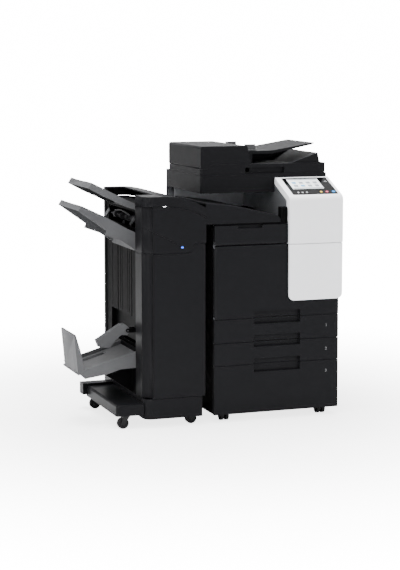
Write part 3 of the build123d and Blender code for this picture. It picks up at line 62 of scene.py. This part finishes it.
# closed shell: rings of points joined by quads, each end closed by triangles to the middle of its ring
def shellParts(rings):
    rings = np.asarray(rings, float)
    rows, cols = rings.shape[:2]
    around = np.arange(cols)
    ahead = (around + 1) % cols
    start = np.arange(rows - 1)[:, None] * cols
    above = start + cols
    quads = np.stack([start + around, start + ahead, above + ahead, above + around], -1).reshape(-1, 4)
    verts = np.vstack([rings.reshape(-1, 3), rings[0].mean(0), rings[-1].mean(0)])
    middle = np.full(cols, rows * cols)
    last = (rows - 1) * cols
    firstCap = np.stack([middle, ahead, around], -1)
    lastCap = np.stack([middle + 1, last + around, last + ahead], -1)
    return verts, quads, np.concatenate([firstCap, lastCap])


# several shells become one mesh object at the origin
def makeObject(name, shells, material):
    counts = np.cumsum([0] + [len(verts) for verts, _, _ in shells])
    verts = np.concatenate([verts for verts, _, _ in shells])
    quads = np.concatenate([quads + count for (_, quads, _), count in zip(shells, counts)])
    caps = np.concatenate([caps + count for (_, _, caps), count in zip(shells, counts)])
    mesh = bpy.data.meshes.new(name)
    mesh.from_pydata(verts.tolist(), [], quads.tolist() + caps.tolist())
    outwards = bmesh.new()
    outwards.from_mesh(mesh)
    bmesh.ops.recalc_face_normals(outwards, faces=outwards.faces)
    outwards.to_mesh(mesh)
    outwards.free()
    mesh.shade_smooth()
    mesh.set_sharp_from_angle(angle=sharpAngle)
    mesh.materials.append(material)
    piece = bpy.data.objects.new(name, mesh)
    bpy.context.scene.collection.objects.link(piece)
    return piece


def attach(piece, body):
    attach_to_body(piece, body)


# rounded rectangle about its centre: point = inner corner + radius * (cos a, sin a), a going round once
def roundedOutline(width, height, corner, steps=6):
    corner = min(corner, width / 2 - 1e-5, height / 2 - 1e-5)
    quarter = math.pi / 2
    angle = np.concatenate([np.linspace(q * quarter, (q + 1) * quarter, steps) for q in range(4)])
    signX = np.repeat([1, -1, -1, 1], steps)
    signY = np.repeat([1, 1, -1, -1], steps)
    x = signX * (width / 2 - corner) + corner * np.cos(angle)
    y = signY * (height / 2 - corner) + corner * np.sin(angle)
    return np.stack([x, y], -1)


# plate on a plane: the outline shrinks by the inset as it rises to each height of the profile
def platePart(centre, across, up, width, height, corner, profile):
    across = unit(across)
    up = unit(up)
    normal = np.cross(across, up)
    rings = []
    for inset, rise in profile:
        flat = roundedOutline(width - 2 * inset, height - 2 * inset, max(corner - inset, 0.0002))
        rings.append(np.array(centre) + flat[:, :1] * across + flat[:, 1:] * up + rise * normal)
    return shellParts(rings)


# profile of a plate whose upper edge is cut back in two small steps
def softPlate(thickness, edge):
    return [(0, 0), (0, thickness - edge), (edge * 0.3, thickness - edge * 0.3), (edge, thickness)]


# rail: point = path + profile sideways * side + profile upwards * (side x direction of the path)
def railPart(path, profile, side):
    side = unit(side)
    up = np.cross(side, np.gradient(path, axis=0))
    up = up / np.linalg.norm(up, axis=1, keepdims=True)
    profile = np.array(profile)
    rings = path[:, None, :] + profile[None, :, :1] * side + profile[None, :, 1:] * up[:, None, :]
    return shellParts(rings)


# turned piece: point = centre + radius * (cos a, sin a) across the axis + height along it
def turnedPart(centre, axis, profile, sides=32):
    axis = Vector(axis).normalized()
    first = axis.orthogonal().normalized()
    second = axis.cross(first)
    angle = np.linspace(0, 2 * math.pi, sides, endpoint=False)[None, :, None]
    profile = np.array(profile)
    radius = profile[:, 0][:, None, None]
    height = profile[:, 1][:, None, None]
    ring = np.cos(angle) * np.array(first) + np.sin(angle) * np.array(second)
    return shellParts(np.array(centre) + radius * ring + height * np.array(axis))


# adds a node; an input given as a socket is linked, any other is set
def addNode(tree, kind, inputs, **settings):
    node = tree.nodes.new(kind)
    for name, value in settings.items():
        setattr(node, name, value)
    for key, value in inputs.items():
        if isinstance(value, bpy.types.NodeSocket):
            tree.links.new(value, node.inputs[key])
        else:
            node.inputs[key].default_value = value
    return node


def noiseOn(tree, place, scale, detail, roughness=0.5):
    inputs = {"Vector": place, "Scale": scale, "Detail": detail, "Roughness": roughness}
    return addNode(tree, "ShaderNodeTexNoise", inputs).outputs["Fac"]


# value from one (low, high) span carried to another
def mapTo(tree, value, span, result, **settings):
    inputs = {0: value, 1: span[0], 2: span[1], 3: result[0], 4: result[1]}
    return addNode(tree, "ShaderNodeMapRange", inputs, **settings).outputs[0]


def mathOn(tree, operation, first, second, **settings):
    return addNode(tree, "ShaderNodeMath", {0: first, 1: second}, operation=operation, **settings).outputs[0]


# colour, gloss and relief of each finish; what a finish leaves out is taken from plainFinish
plainFinish = {
    "rough": 0.35,
    "metal": 0.0,
    "specular": 0.5,
    "smear": 0.045,    # how far the gloss drifts either way
    "drift": 0.10,     # how far the colour drifts either way
    "grain": 1400,
    "brushed": 1.0,    # grain drawn out along one direction by this much
    "bump": 0.10,
    "wear": 0.35,
}
finishes = {
    "frame_steel": {
        "colour": (0.34, 0.35, 0.37),
        "rough": 0.42, "metal": 0.9, "grain": 500, "bump": 0.05, "drift": 0.05,
    },
    "cover_charcoal": {
        "colour": (0.0068, 0.0069, 0.0078),
        "rough": 0.38, "specular": 0.05, "drift": 0.04, "smear": 0.015,
    },
    "side_black": {
        "colour": (0.0016, 0.0016, 0.0018),
        "rough": 0.50, "specular": 0.02, "drift": 0.05, "smear": 0.02,
    },
    "panel_white": {
        "colour": (0.84, 0.845, 0.865),
        "rough": 0.38, "specular": 0.4, "bump": 0.05, "drift": 0.02, "wear": 0.0,
    },
    "panel_glass": {
        "colour": (0.003, 0.003, 0.0035),
        "rough": 0.10, "specular": 0.3, "grain": 60, "bump": 0.0, "wear": 0.1,
    },
    "tray_grey": {
        "colour": (0.066, 0.067, 0.070),
        "rough": 0.48, "specular": 0.12, "grain": 1100, "bump": 0.12, "wear": 0.25,
    },
    "booklet_grey": {
        "colour": (0.075, 0.076, 0.079),
        "rough": 0.48, "specular": 0.12, "grain": 1100, "bump": 0.12, "wear": 0.25,
    },
    "inner_dark": {
        "colour": (0.010, 0.010, 0.011),
        "rough": 0.5, "specular": 0.2, "grain": 900, "drift": 0.15,
    },
    "inner_grey": {
        "colour": (0.13, 0.132, 0.138),
        "rough": 0.5, "specular": 0.3, "grain": 900, "wear": 0.2,
    },
    "bin_grey": {
        "colour": (0.07, 0.072, 0.076),
        "rough": 0.5, "specular": 0.3, "grain": 1100, "bump": 0.12, "wear": 0.2,
    },
    "roller_rubber": {
        "colour": (0.03, 0.03, 0.033),
        "rough": 0.78, "specular": 0.15, "grain": 1800, "bump": 0.2, "drift": 0.2,
    },
    "caster_black": {
        "colour": (0.006, 0.006, 0.0065),
        "rough": 0.36, "specular": 0.2, "grain": 1200, "drift": 0.15,
    },
    "wheel_black": {
        "colour": (0.006, 0.006, 0.0065),
        "rough": 0.52, "specular": 0.15, "grain": 1500, "bump": 0.15, "drift": 0.3,
    },
    "hinge_steel": {
        "colour": (0.5, 0.5, 0.51),
        "rough": 0.32, "metal": 1.0, "grain": 700, "bump": 0.06, "brushed": 14.0,
    },
    "key_blue": {"colour": (0.02, 0.20, 0.50), "bump": 0.03, "drift": 0.03},
    "key_red": {"colour": (0.66, 0.12, 0.18), "bump": 0.03, "drift": 0.03},
    "key_yellow": {"colour": (0.78, 0.52, 0.07), "bump": 0.03, "drift": 0.03},
}
texture = {
    "patchScale": 6.0,
    "smearScale": 31.0,
    "noiseSpan": (0.3, 0.7),      # the part of the noise that is used
    "speck": (0.94, 1.06),        # brightness of single grains
    "grainDepth": 0.0004,
    "edgeWidth": 0.0022,
    "edgeSpan": (0.995, 0.90),    # rounded-over normal against true normal: 1 on a flat, less at an edge
    "rubSpan": (0.36, 0.62),
    "rubLeast": 0.25,
    "rubMost": 2.2,               # times the finish's wear
    "rubPaler": (1.5, 0.006),     # rubbed colour = colour times the first plus the second
    "rubSmoother": 0.10,
}


# moulded or rolled surface. The colour drifts over hand-sized patches and from grain to grain, smears change
# the gloss, the grain gives the relief, and edges are rubbed paler and smoother in broken stretches
def surfaceMaterial(name, **finish):
    finish = {**plainFinish, **finish}
    material = bpy.data.materials.new(name)
    material.use_nodes = True
    tree = material.node_tree
    shader = tree.nodes["Principled BSDF"]
    shader.inputs["Metallic"].default_value = finish["metal"]
    shader.inputs["Specular IOR Level"].default_value = finish["specular"]
    place = addNode(tree, "ShaderNodeTexCoord", {}).outputs["Object"]
    stretch = {"Vector": place, "Scale": (1.0, 1.0, finish["brushed"])}
    drawnOut = addNode(tree, "ShaderNodeMapping", stretch).outputs["Vector"]
    patches = noiseOn(tree, place, texture["patchScale"], 5.0)
    smears = noiseOn(tree, place, texture["smearScale"], 3.0, 0.62)
    grain = noiseOn(tree, drawnOut, finish["grain"], 2.0)
    span = texture["noiseSpan"]
    tint = mapTo(tree, patches, span, (1.0 - finish["drift"], 1.0 + finish["drift"]))
    speck = mapTo(tree, grain, span, texture["speck"])
    shade = {0: finish["colour"], "Scale": mathOn(tree, "MULTIPLY", tint, speck)}
    colour = addNode(tree, "ShaderNodeVectorMath", shade, operation="SCALE").outputs[0]
    gloss = mapTo(tree, smears, span, (finish["rough"] - finish["smear"], finish["rough"] + finish["smear"]))
    if finish["wear"]:
        rubbed = rubbedEdges(tree, smears, finish["wear"])
        times, plus = texture["rubPaler"]
        paler = [min(1.0, times * part + plus) for part in finish["colour"]]
        mix = {0: rubbed, 6: colour, 7: (*paler, 1)}
        colour = addNode(tree, "ShaderNodeMix", mix, data_type="RGBA").outputs[2]
        gloss = mathOn(tree, "SUBTRACT", gloss, mathOn(tree, "MULTIPLY", rubbed, texture["rubSmoother"]))
    tree.links.new(colour, shader.inputs["Base Color"])
    tree.links.new(gloss, shader.inputs["Roughness"])
    if finish["bump"]:
        bump = {"Strength": finish["bump"], "Distance": texture["grainDepth"], "Height": grain}
        tree.links.new(addNode(tree, "ShaderNodeBump", bump).outputs[0], shader.inputs["Normal"])
    return material


# share of rubbing at a point: how much of an edge it is, times a patchy mask
def rubbedEdges(tree, smears, wear):
    rounded = addNode(tree, "ShaderNodeBevel", {"Radius": texture["edgeWidth"]}, samples=4).outputs[0]
    true = addNode(tree, "ShaderNodeNewGeometry", {}).outputs["True Normal"]
    facing = addNode(tree, "ShaderNodeVectorMath", {0: rounded, 1: true}, operation="DOT_PRODUCT")
    edge = mapTo(tree, facing.outputs["Value"], texture["edgeSpan"], (0.0, 1.0))
    mask = mapTo(tree, smears, texture["rubSpan"], (texture["rubLeast"], wear * texture["rubMost"]))
    return mathOn(tree, "MULTIPLY", edge, mask, use_clamp=True)


# print, lenses and other small smooth things; glow makes them shine in their own colour
def smoothMaterial(name, colour, rough, glow=0.0, drift=0.03):
    material = surfaceMaterial(name, colour=colour, rough=rough, bump=0.03, drift=drift, wear=0.0)
    if glow:
        shader = material.node_tree.nodes["Principled BSDF"]
        shader.inputs["Emission Color"].default_value = (*colour, 1)
        shader.inputs["Emission Strength"].default_value = glow
    return material


def clearGlass(name):
    material = surfaceMaterial(name, colour=(0.75, 0.82, 0.8), rough=0.06, bump=0.0, drift=0.02, wear=0.0)
    shader = material.node_tree.nodes["Principled BSDF"]
    shader.inputs["Transmission Weight"].default_value = 0.85
    shader.inputs["IOR"].default_value = 1.5
    return material


looks = {slot: surfaceMaterial(slot, **finish) for slot, finish in finishes.items()}
looks["platen_glass"] = clearGlass("platen_glass")
for entry in record["subparts"]:
    materials = frame["nodes"][entry["node"]].data.materials
    materials.clear()
    materials.append(looks[entry["material_slot"]])
print("materials:", len(looks))

# radius to which each finish's hard edges are softened, in metres
edgeRadius = {
    "cover_charcoal": 0.0016,
    "side_black": 0.0010,
    "panel_white": 0.0018,
    "tray_grey": 0.0012,
    "booklet_grey": 0.0014,
    "panel_glass": 0.0005,
    "caster_black": 0.0010,
    "wheel_black": 0.0020,
    "bin_grey": 0.0008,
    "inner_grey": 0.0010,
    "inner_dark": 0.0010,
    "key_blue": 0.0005,
    "key_red": 0.0005,
    "key_yellow": 0.0005,
}


def softenEdges(node, radius):
    weld = node.modifiers.new("weld", "WELD")
    weld.merge_threshold = 0.00002
    bevel = node.modifiers.new("bevel", "BEVEL")
    bevel.width = radius
    bevel.segments = 2
    bevel.limit_method = "ANGLE"
    bevel.angle_limit = math.radians(40)
    bevel.harden_normals = True
    bevel.use_clamp_overlap = True


for entry in record["subparts"]:
    if entry["material_slot"] in edgeRadius:
        softenEdges(frame["nodes"][entry["node"]], edgeRadius[entry["material_slot"]])
print("edges softened")

# sloping glass of the control panel: distances across it and up it are from its front left corner
desk = {"slope": math.atan2(78, 180), "glassThickness": 0.002}
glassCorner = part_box("panel_glass")[0]
deskAcross = np.array([1.0, 0.0, 0.0])
deskUp = np.array([0.0, math.cos(desk["slope"]), math.sin(desk["slope"])])
deskNormal = np.cross(deskAcross, deskUp)
deskOrigin = np.array(glassCorner) + np.array([0.0, 0.0, desk["glassThickness"] * math.cos(desk["slope"])])


def onDesk(across, up, rise=0.0):
    flat = np.multiply.outer(across, deskAcross) + np.multiply.outer(up, deskUp)
    return deskOrigin + flat + rise * deskNormal


def deskPlate(across, up, width, height, corner, thickness, rise=0.0):
    profile = softPlate(thickness, thickness * 0.4)
    return platePart(onDesk(across, up, rise), deskAcross, deskUp, width, height, corner, profile)


# sizes inside the picture are shares of its width and height, thicknesses are in metres
screen = {
    "across": (0.020, 0.171),
    "up": (0.053, 0.148),
    "thickness": 0.0005,
    "bezelExtra": 0.006,
    "rows": (0.62, 0.32),
    "columns": (0.16, 0.387, 0.614, 0.841),
    "tile": (0.13, 0.16),
    "caption": (0.12, 0.025),
    "captionDrop": 0.12,
    "barWidth": 0.96,
    "bars": ((0.94, 0.07), (0.07, 0.08)),    # height in the picture, thickness of the bar
    "blueTiles": (0, 5),
}


def makeScreen():
    left, right = screen["across"]
    low, high = screen["up"]
    width = right - left
    height = high - low
    middle = ((left + right) / 2, (low + high) / 2)
    top = screen["thickness"]
    tiles = []
    captions = []
    for row in screen["rows"]:
        for column in screen["columns"]:
            x = left + width * column
            y = low + height * row
            wide, tall = screen["tile"]
            tiles.append(deskPlate(x, y, width * wide, height * tall, 0.002, 0.0003, top))
            wide, tall = screen["caption"]
            drop = height * screen["captionDrop"]
            captions.append(deskPlate(x, y - drop, width * wide, height * tall, 0.0006, 0.0002, top))
    bars = []
    barWidth = width * screen["barWidth"]
    for up, tall in screen["bars"]:
        bars.append(deskPlate(middle[0], low + height * up, barWidth, height * tall, 0.001, 0.0003, top))
    blue = [tiles[index] for index in screen["blueTiles"]]
    grey = [tile for index, tile in enumerate(tiles) if index not in screen["blueTiles"]]
    extra = screen["bezelExtra"]
    bezel = [deskPlate(*middle, width + extra, height + extra, 0.003, 0.0003)]
    picture = [deskPlate(*middle, width, height, 0.002, top)]
    greyFinish = smoothMaterial("screenGrey", (0.23, 0.25, 0.28), 0.3, glow=0.1)
    layers = (
        ("screenBezel", bezel, looks["panel_glass"]),
        ("screenArea", picture, smoothMaterial("screenLit", (0.80, 0.83, 0.85), 0.25, glow=0.35)),
        ("screenTilesBlue", blue, smoothMaterial("screenBlue", (0.10, 0.30, 0.52), 0.3, glow=0.25)),
        ("screenTilesGrey", grey + captions, greyFinish),
        ("screenBars", bars, greyFinish),
    )
    for name, shells, material in layers:
        attach(makeObject(name, shells, material), "machine")


marks = {
    "columns": (0.032, 0.053, 0.074),
    "row": 0.020,
    "lines": ((0.0035, 0.009), (0.0, 0.009), (-0.0035, 0.006)),    # height from the row, width
    "lineHeight": 0.0022,
    "thickness": 0.0003,
    "power": (0.203, 0.118),
    "ringRadius": 0.005,
    "ringAngles": (130, 410),
    "ringBand": ((-0.0006, 0.0), (0.0006, 0.0), (0.0005, 0.0003), (-0.0005, 0.0003)),
    "stroke": (0.0013, 0.006),
    "strokeUp": 0.004,
}


# three lined marks beside the keys and a power mark, whose open ring is centre + radius * (cos a, sin a)
def makeDeskMarks():
    thickness = marks["thickness"]
    shells = []
    for across in marks["columns"]:
        for up, width in marks["lines"]:
            shells.append(deskPlate(across, marks["row"] + up, width, marks["lineHeight"], 0.001, thickness))
    x, y = marks["power"]
    angle = np.radians(np.linspace(*marks["ringAngles"], 24))
    out = onDesk(x + np.cos(angle), y + np.sin(angle)) - onDesk(x, y)
    path = onDesk(x, y) + marks["ringRadius"] * out
    band = np.array(marks["ringBand"])
    rings = path[:, None, :] + band[None, :, :1] * out[:, None, :] + band[None, :, 1:] * deskNormal
    shells.append(shellParts(rings))
    shells.append(deskPlate(x, y + marks["strokeUp"], *marks["stroke"], 0.0005, thickness))
    pale = smoothMaterial("markPale", (0.62, 0.64, 0.66), 0.4, glow=0.15)
    attach(makeObject("deskMarks", shells, pale), "machine")


makeScreen()
makeDeskMarks()
print("control panel done")

# number at the right of each drawer's front
digits = {"height": 0.0135, "letterSize": 1.4, "inset": 0.060, "drop": 0.048, "thickness": 0.0003}


# a text's flat (x, y) is stood up as (x, z), its thickness going forwards
def makeDigits():
    material = smoothMaterial("digitGrey", (0.16, 0.165, 0.17), 0.45)
    for index in (1, 2, 3):
        low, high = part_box(f"tray_{index}_face")
        curve = bpy.data.curves.new(f"digit{index}", "FONT")
        curve.body = str(index)
        curve.size = digits["height"] * digits["letterSize"]
        curve.extrude = digits["thickness"]
        curve.align_x = "CENTER"
        writing = bpy.data.objects.new(f"digitCurve{index}", curve)
        bpy.context.scene.collection.objects.link(writing)
        bpy.context.view_layer.update()
        mesh = bpy.data.meshes.new_from_object(writing)
        bpy.data.objects.remove(writing)
        flat = np.empty(len(mesh.vertices) * 3)
        mesh.vertices.foreach_get("co", flat)
        x, y, z = flat.reshape(-1, 3).T
        across = high.x - digits["inset"] + x
        up = high.z - digits["drop"] - digits["height"] / 2 + y
        mesh.vertices.foreach_set("co", np.stack([across, low.y - z, up], -1).ravel())
        mesh.materials.clear()
        mesh.materials.append(material)
        piece = bpy.data.objects.new(f"digit{index}", mesh)
        bpy.context.scene.collection.objects.link(piece)
        attach(piece, f"tray_{index}")


makeDigits()
print("digits done")

# lens of the status lamp at the end of the groove in the finisher's upper cover
statusLamp = {"at": (-149.0, -0.3, 796.0), "size": (0.011, 0.0064), "proud": 0.0008, "edge": 0.0004}


def makeStatusLamp():
    width, height = statusLamp["size"]
    profile = softPlate(statusLamp["proud"], statusLamp["edge"])
    roundEnd = height / 2 - 0.0001
    lens = platePart(spot(*statusLamp["at"]), (1, 0, 0), (0, 0, 1), width, height, roundEnd, profile)
    lit = smoothMaterial("statusBlue", (0.03, 0.12, 0.75), 0.25, glow=3.0)
    attach(makeObject("statusLens", [lens], lit), "machine")


makeStatusLamp()

# paper guides on the finisher's left wall, between its output trays; spots are (depth, height) on it
exitGuides = {
    "wall": -318.0,
    "strips": (((548.0, 921.0), (619.0, 884.0)), ((165.0, 912.0), (215.0, 881.0))),
    "strip": (0.015, 0.006),    # width, height off the wall
    "bow": ((450.0, 926.0), (232.0, 922.0)),
    "bowRise": 0.009,
    "bowStrip": (0.006, 0.004),
    "knob": (317.0, 884.0),
    "knobProfile": ((0.009, 0), (0.009, 0.004), (0.00765, 0.0055), (0.0027, 0.006)),
}


# strip lying on the wall, sunk a little into it, with its outer edges taken off
def wallStrip(path, width, proud):
    half = width / 2
    sunk = -0.001
    profile = [
        (sunk, -half), (proud * 0.7, -half), (proud, -half * 0.8),
        (proud, half * 0.8), (proud * 0.7, half), (sunk, half),
    ]
    return railPart(path, profile, (-1, 0, 0))


# straight line on the wall: start * (1 - t) + end * t
def wallLine(start, end, t):
    wall = exitGuides["wall"]
    return np.outer(1 - t, spot(wall, *start)) + np.outer(t, spot(wall, *end))


def makeExitGuides():
    t = np.linspace(0, 1, 6)
    shells = [wallStrip(wallLine(*ends, t), *exitGuides["strip"]) for ends in exitGuides["strips"]]
    # the bowed strip is lifted off its straight line by rise * 4 t (1 - t)
    t = np.linspace(0, 1, 20)
    path = wallLine(*exitGuides["bow"], t)
    path[:, 2] += exitGuides["bowRise"] * 4 * t * (1 - t)
    shells.append(wallStrip(path, *exitGuides["bowStrip"]))
    attach(makeObject("exitGuideStrips", shells, looks["tray_grey"]), "machine")
    knob = turnedPart(spot(exitGuides["wall"], *exitGuides["knob"]), (-1, 0, 0), exitGuides["knobProfile"])
    attach(makeObject("exitKnob", [knob], looks["roller_rubber"]), "machine")


makeExitGuides()
print("finisher details done")

# steel plate that lifts the paper in each drawer
liftPlate = {"inset": 0.024, "thickness": 0.0012, "edge": 0.0004, "above": 0.014, "corner": 0.006}


def makeLiftPlates():
    profile = softPlate(liftPlate["thickness"], liftPlate["edge"])
    for index in (1, 2, 3):
        low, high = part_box(f"tray_{index}_bin")
        size = high - low
        centre = ((low.x + high.x) / 2, (low.y + high.y) / 2, low.z + liftPlate["above"])
        width = size.x - 2 * liftPlate["inset"]
        depth = size.y - 2 * liftPlate["inset"]
        plate = platePart(centre, (1, 0, 0), (0, 1, 0), width, depth, liftPlate["corner"], profile)
        attach(makeObject(f"liftPlate{index}", [plate], looks["hinge_steel"]), f"tray_{index}")


makeLiftPlates()

# white pad that presses a sheet to the glass, carried by the feeder
pressPad = {
    "middle": (298.0, 387.5, 1096.6),
    "size": (0.508, 0.331),
    "corner": 0.008,
    "thickness": 0.002,
    "edge": 0.0006,
}


def makePressPad():
    profile = softPlate(pressPad["thickness"], pressPad["edge"])
    pad = platePart(
        spot(*pressPad["middle"]), (1, 0, 0), (0, -1, 0), *pressPad["size"], pressPad["corner"], profile
    )
    white = smoothMaterial("padWhite", (0.78, 0.78, 0.76), 0.6)
    attach(makeObject("pressPad", [pad], white), "feeder")


makePressPad()

# coloured caps in the mouths of the four toner bottles, dished in the middle
tonerCaps = {
    "first": (52.0, 34.2, 822.3),
    "pitch": 78.0,
    "rim": ((0.022, 0), (0.022, 0.003), (0.021, 0.004), (0.011, 0.004)),
    "dish": ((0.0099, 0.0025), (0.001, 0.0025)),
    "inks": {
        "Cyan": ((0.02, 0.22, 0.42), "key_blue"),
        "Magenta": ((0.50, 0.03, 0.18), "key_red"),
        "Yellow": ((0.70, 0.50, 0.03), "key_yellow"),
        "Black": ((0.01, 0.01, 0.01), "inner_dark"),
    },
}


def makeTonerCaps():
    x, y, z = tonerCaps["first"]
    for index, (ink, (colour, slot)) in enumerate(tonerCaps["inks"].items()):
        mouth = spot(x + index * tonerCaps["pitch"], y, z)
        cap = turnedPart(mouth, (0, -1, 0), tonerCaps["rim"] + tonerCaps["dish"], sides=40)
        material = smoothMaterial(f"toner{ink}", colour, 0.4)
        attach(makeObject(f"tonerCap{ink}", [cap], material), "machine")


makeTonerCaps()
print("inside pieces done")

# cross-head screws on the rear covers, as (x, height) in millimetres on each cover
rearScrews = {
    "radius": 0.0036,
    "rise": 0.0016,
    "crossLength": 1.2,      # times the radius
    "crossWidth": 0.28,
    "crossSeat": 0.96,       # height of the cross on the head, times the rise
    "crossThickness": 0.00025,
    "places": {
        "rear_cover": (
            (18, 60), (18, 520), (18, 990), (582, 60), (582, 520), (582, 990), (300, 990), (300, 60)
        ),
        "finisher_rear_cover": (
            (-308, 160), (-308, 560), (-308, 900), (-54, 160), (-54, 560), (-54, 900)
        ),
    },
}


# pan head: (radius cos t, rise sin t), a quarter ellipse; the cross recess is not cut, its shade is painted
# as two dark bars on its crown
def makeRearScrews():
    radius = rearScrews["radius"]
    rise = rearScrews["rise"]
    bend = np.linspace(0, math.pi / 2, 7)[:-1]
    profile = np.stack([radius * np.cos(bend), rise * np.sin(bend)], -1)
    length = radius * rearScrews["crossLength"]
    width = radius * rearScrews["crossWidth"]
    crossShadeProfile = softPlate(rearScrews["crossThickness"], 0.0001)
    heads = []
    bars = []
    for cover, places in rearScrews["places"].items():
        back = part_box(cover)[1].y
        for x, z in places:
            seat = spot(x, 0, z)
            seat[1] = back
            heads.append(turnedPart(seat, (0, 1, 0), profile, sides=20))
            crown = seat + np.array([0.0, rise * rearScrews["crossSeat"], 0.0])
            for size in ((length, width), (width, length)):
                bars.append(platePart(crown, (1, 0, 0), (0, 0, -1), *size, 0.0002, crossShadeProfile))
    attach(makeObject("rearScrews", heads, looks["hinge_steel"]), "machine")
    # painted shade of the cross recesses: dark bars laid on the screw heads
    attach(makeObject("rearScrewCrossShade", bars, looks["inner_dark"]), "machine")


makeRearScrews()
print("rear screws done")

studio = {
    "paperColour": (0.94, 0.94, 0.945),
    "worldStrength": 0.95,
    "glow": (3.0, 15.0),        # of the paper where the camera sees it, near the machine and away from it
    "glowSpan": (0.7, 3.0),
    "sweepRadius": 5.0,
    "sweepAt": 7.0,
    "reach": 30.0,
}


# paper sweep: a flat floor that turns up behind in a quarter circle, y = at + r sin t, z = r (1 - cos t).
# Seen by the camera it glows, weakly near the machine and fully away from it, so the ground reads as white
def makeSweep():
    turn = np.linspace(0, math.pi / 2, 24)
    radius = studio["sweepRadius"]
    reach = studio["reach"]
    y = np.concatenate([[-reach], studio["sweepAt"] + radius * np.sin(turn), [studio["sweepAt"] + radius]])
    z = np.concatenate([[0.0], radius * (1 - np.cos(turn)), [reach]])
    verts = np.concatenate([np.stack([np.full(len(y), side), y, z], -1) for side in (-reach, reach)])
    step = np.arange(len(y) - 1)
    faces = np.stack([step, step + len(y), step + len(y) + 1, step + 1], -1)
    mesh = bpy.data.meshes.new("floor")
    mesh.from_pydata(verts.tolist(), [], faces.tolist())
    mesh.shade_smooth()
    mesh.materials.append(sweepPaper())
    floor = bpy.data.objects.new("floor", mesh)
    bpy.context.scene.collection.objects.link(floor)


def sweepPaper():
    paper = smoothMaterial("floorPale", studio["paperColour"], 0.7, drift=0.01)
    tree = paper.node_tree
    place = addNode(tree, "ShaderNodeTexCoord", {}).outputs["Object"]
    away = addNode(tree, "ShaderNodeVectorMath", {0: place}, operation="LENGTH").outputs["Value"]
    glow = mapTo(tree, away, studio["glowSpan"], studio["glow"], interpolation_type="SMOOTHSTEP")
    seen = addNode(tree, "ShaderNodeLightPath", {}).outputs["Is Camera Ray"]
    shader = tree.nodes["Principled BSDF"]
    shader.inputs["Emission Color"].default_value = (1.0, 1.0, 1.0, 1.0)
    tree.links.new(mathOn(tree, "MULTIPLY", glow, seen), shader.inputs["Emission Strength"])
    return paper


def makeWorld():
    world = bpy.data.worlds.new("studio")
    world.use_nodes = True
    background = world.node_tree.nodes["Background"]
    background.inputs["Color"].default_value = (1.0, 1.0, 1.0, 1.0)
    background.inputs["Strength"].default_value = studio["worldStrength"]
    bpy.context.scene.world = world


lamps = {
    "key": {"at": (-2.2, -4.6, 3.2), "aim": (0.0, 0.0, 0.8), "size": (2.4, 2.4), "power": 150},
    "corner": {"at": (-4.2, -1.5, 1.5), "aim": (-0.3, 0.0, 0.6), "size": (0.25, 2.6), "power": 45},
    "fill": {"at": (3.8, -3.4, 2.0), "aim": (0.0, 0.0, 0.6), "size": (2.6, 2.6), "power": 85},
    "top": {"at": (-0.2, 0.4, 4.6), "aim": (0.0, 0.0, 0.8), "size": (3.0, 3.0), "power": 560},
    "back": {"at": (1.9, 4.4, 2.0), "aim": (0.1, 0.0, 1.1), "size": (3.0, 1.8), "power": 6},
}


def makeLamps():
    for name, values in lamps.items():
        lamp = bpy.data.lights.new(name, "AREA")
        lamp.energy = values["power"]
        lamp.shape = "RECTANGLE"
        lamp.size, lamp.size_y = values["size"]
        holder = bpy.data.objects.new(name, lamp)
        holder.location = values["at"]
        direction = Vector(values["aim"]) - Vector(values["at"])
        holder.rotation_euler = direction.to_track_quat("-Z", "Y").to_euler()
        bpy.context.scene.collection.objects.link(holder)


# the camera stands back from the spot it aims at; azimuth is to the machine's left, pitch is downwards
camera = {
    "azimuth": math.radians(19.54),
    "pitch": math.radians(6.55),
    "distance": 7.2,
    "aim": (-0.0955, -0.397, 0.812),
    "lens": 104.66,
    "shiftY": -0.0702,
}


def makeCamera():
    azimuth = camera["azimuth"]
    pitch = camera["pitch"]
    lens = bpy.data.cameras.new("camera")
    lens.lens = camera["lens"]
    lens.sensor_width = 36.0
    lens.shift_y = camera["shiftY"]
    level = math.cos(pitch)
    ahead = Vector((math.sin(azimuth) * level, math.cos(azimuth) * level, -math.sin(pitch)))
    holder = bpy.data.objects.new("camera", lens)
    holder.location = Vector(camera["aim"]) - ahead * camera["distance"]
    holder.rotation_euler = (math.pi / 2 - pitch, 0, -azimuth)
    bpy.context.scene.collection.objects.link(holder)
    bpy.context.scene.camera = holder


makeSweep()
makeWorld()
makeLamps()
makeCamera()
print("studio done")
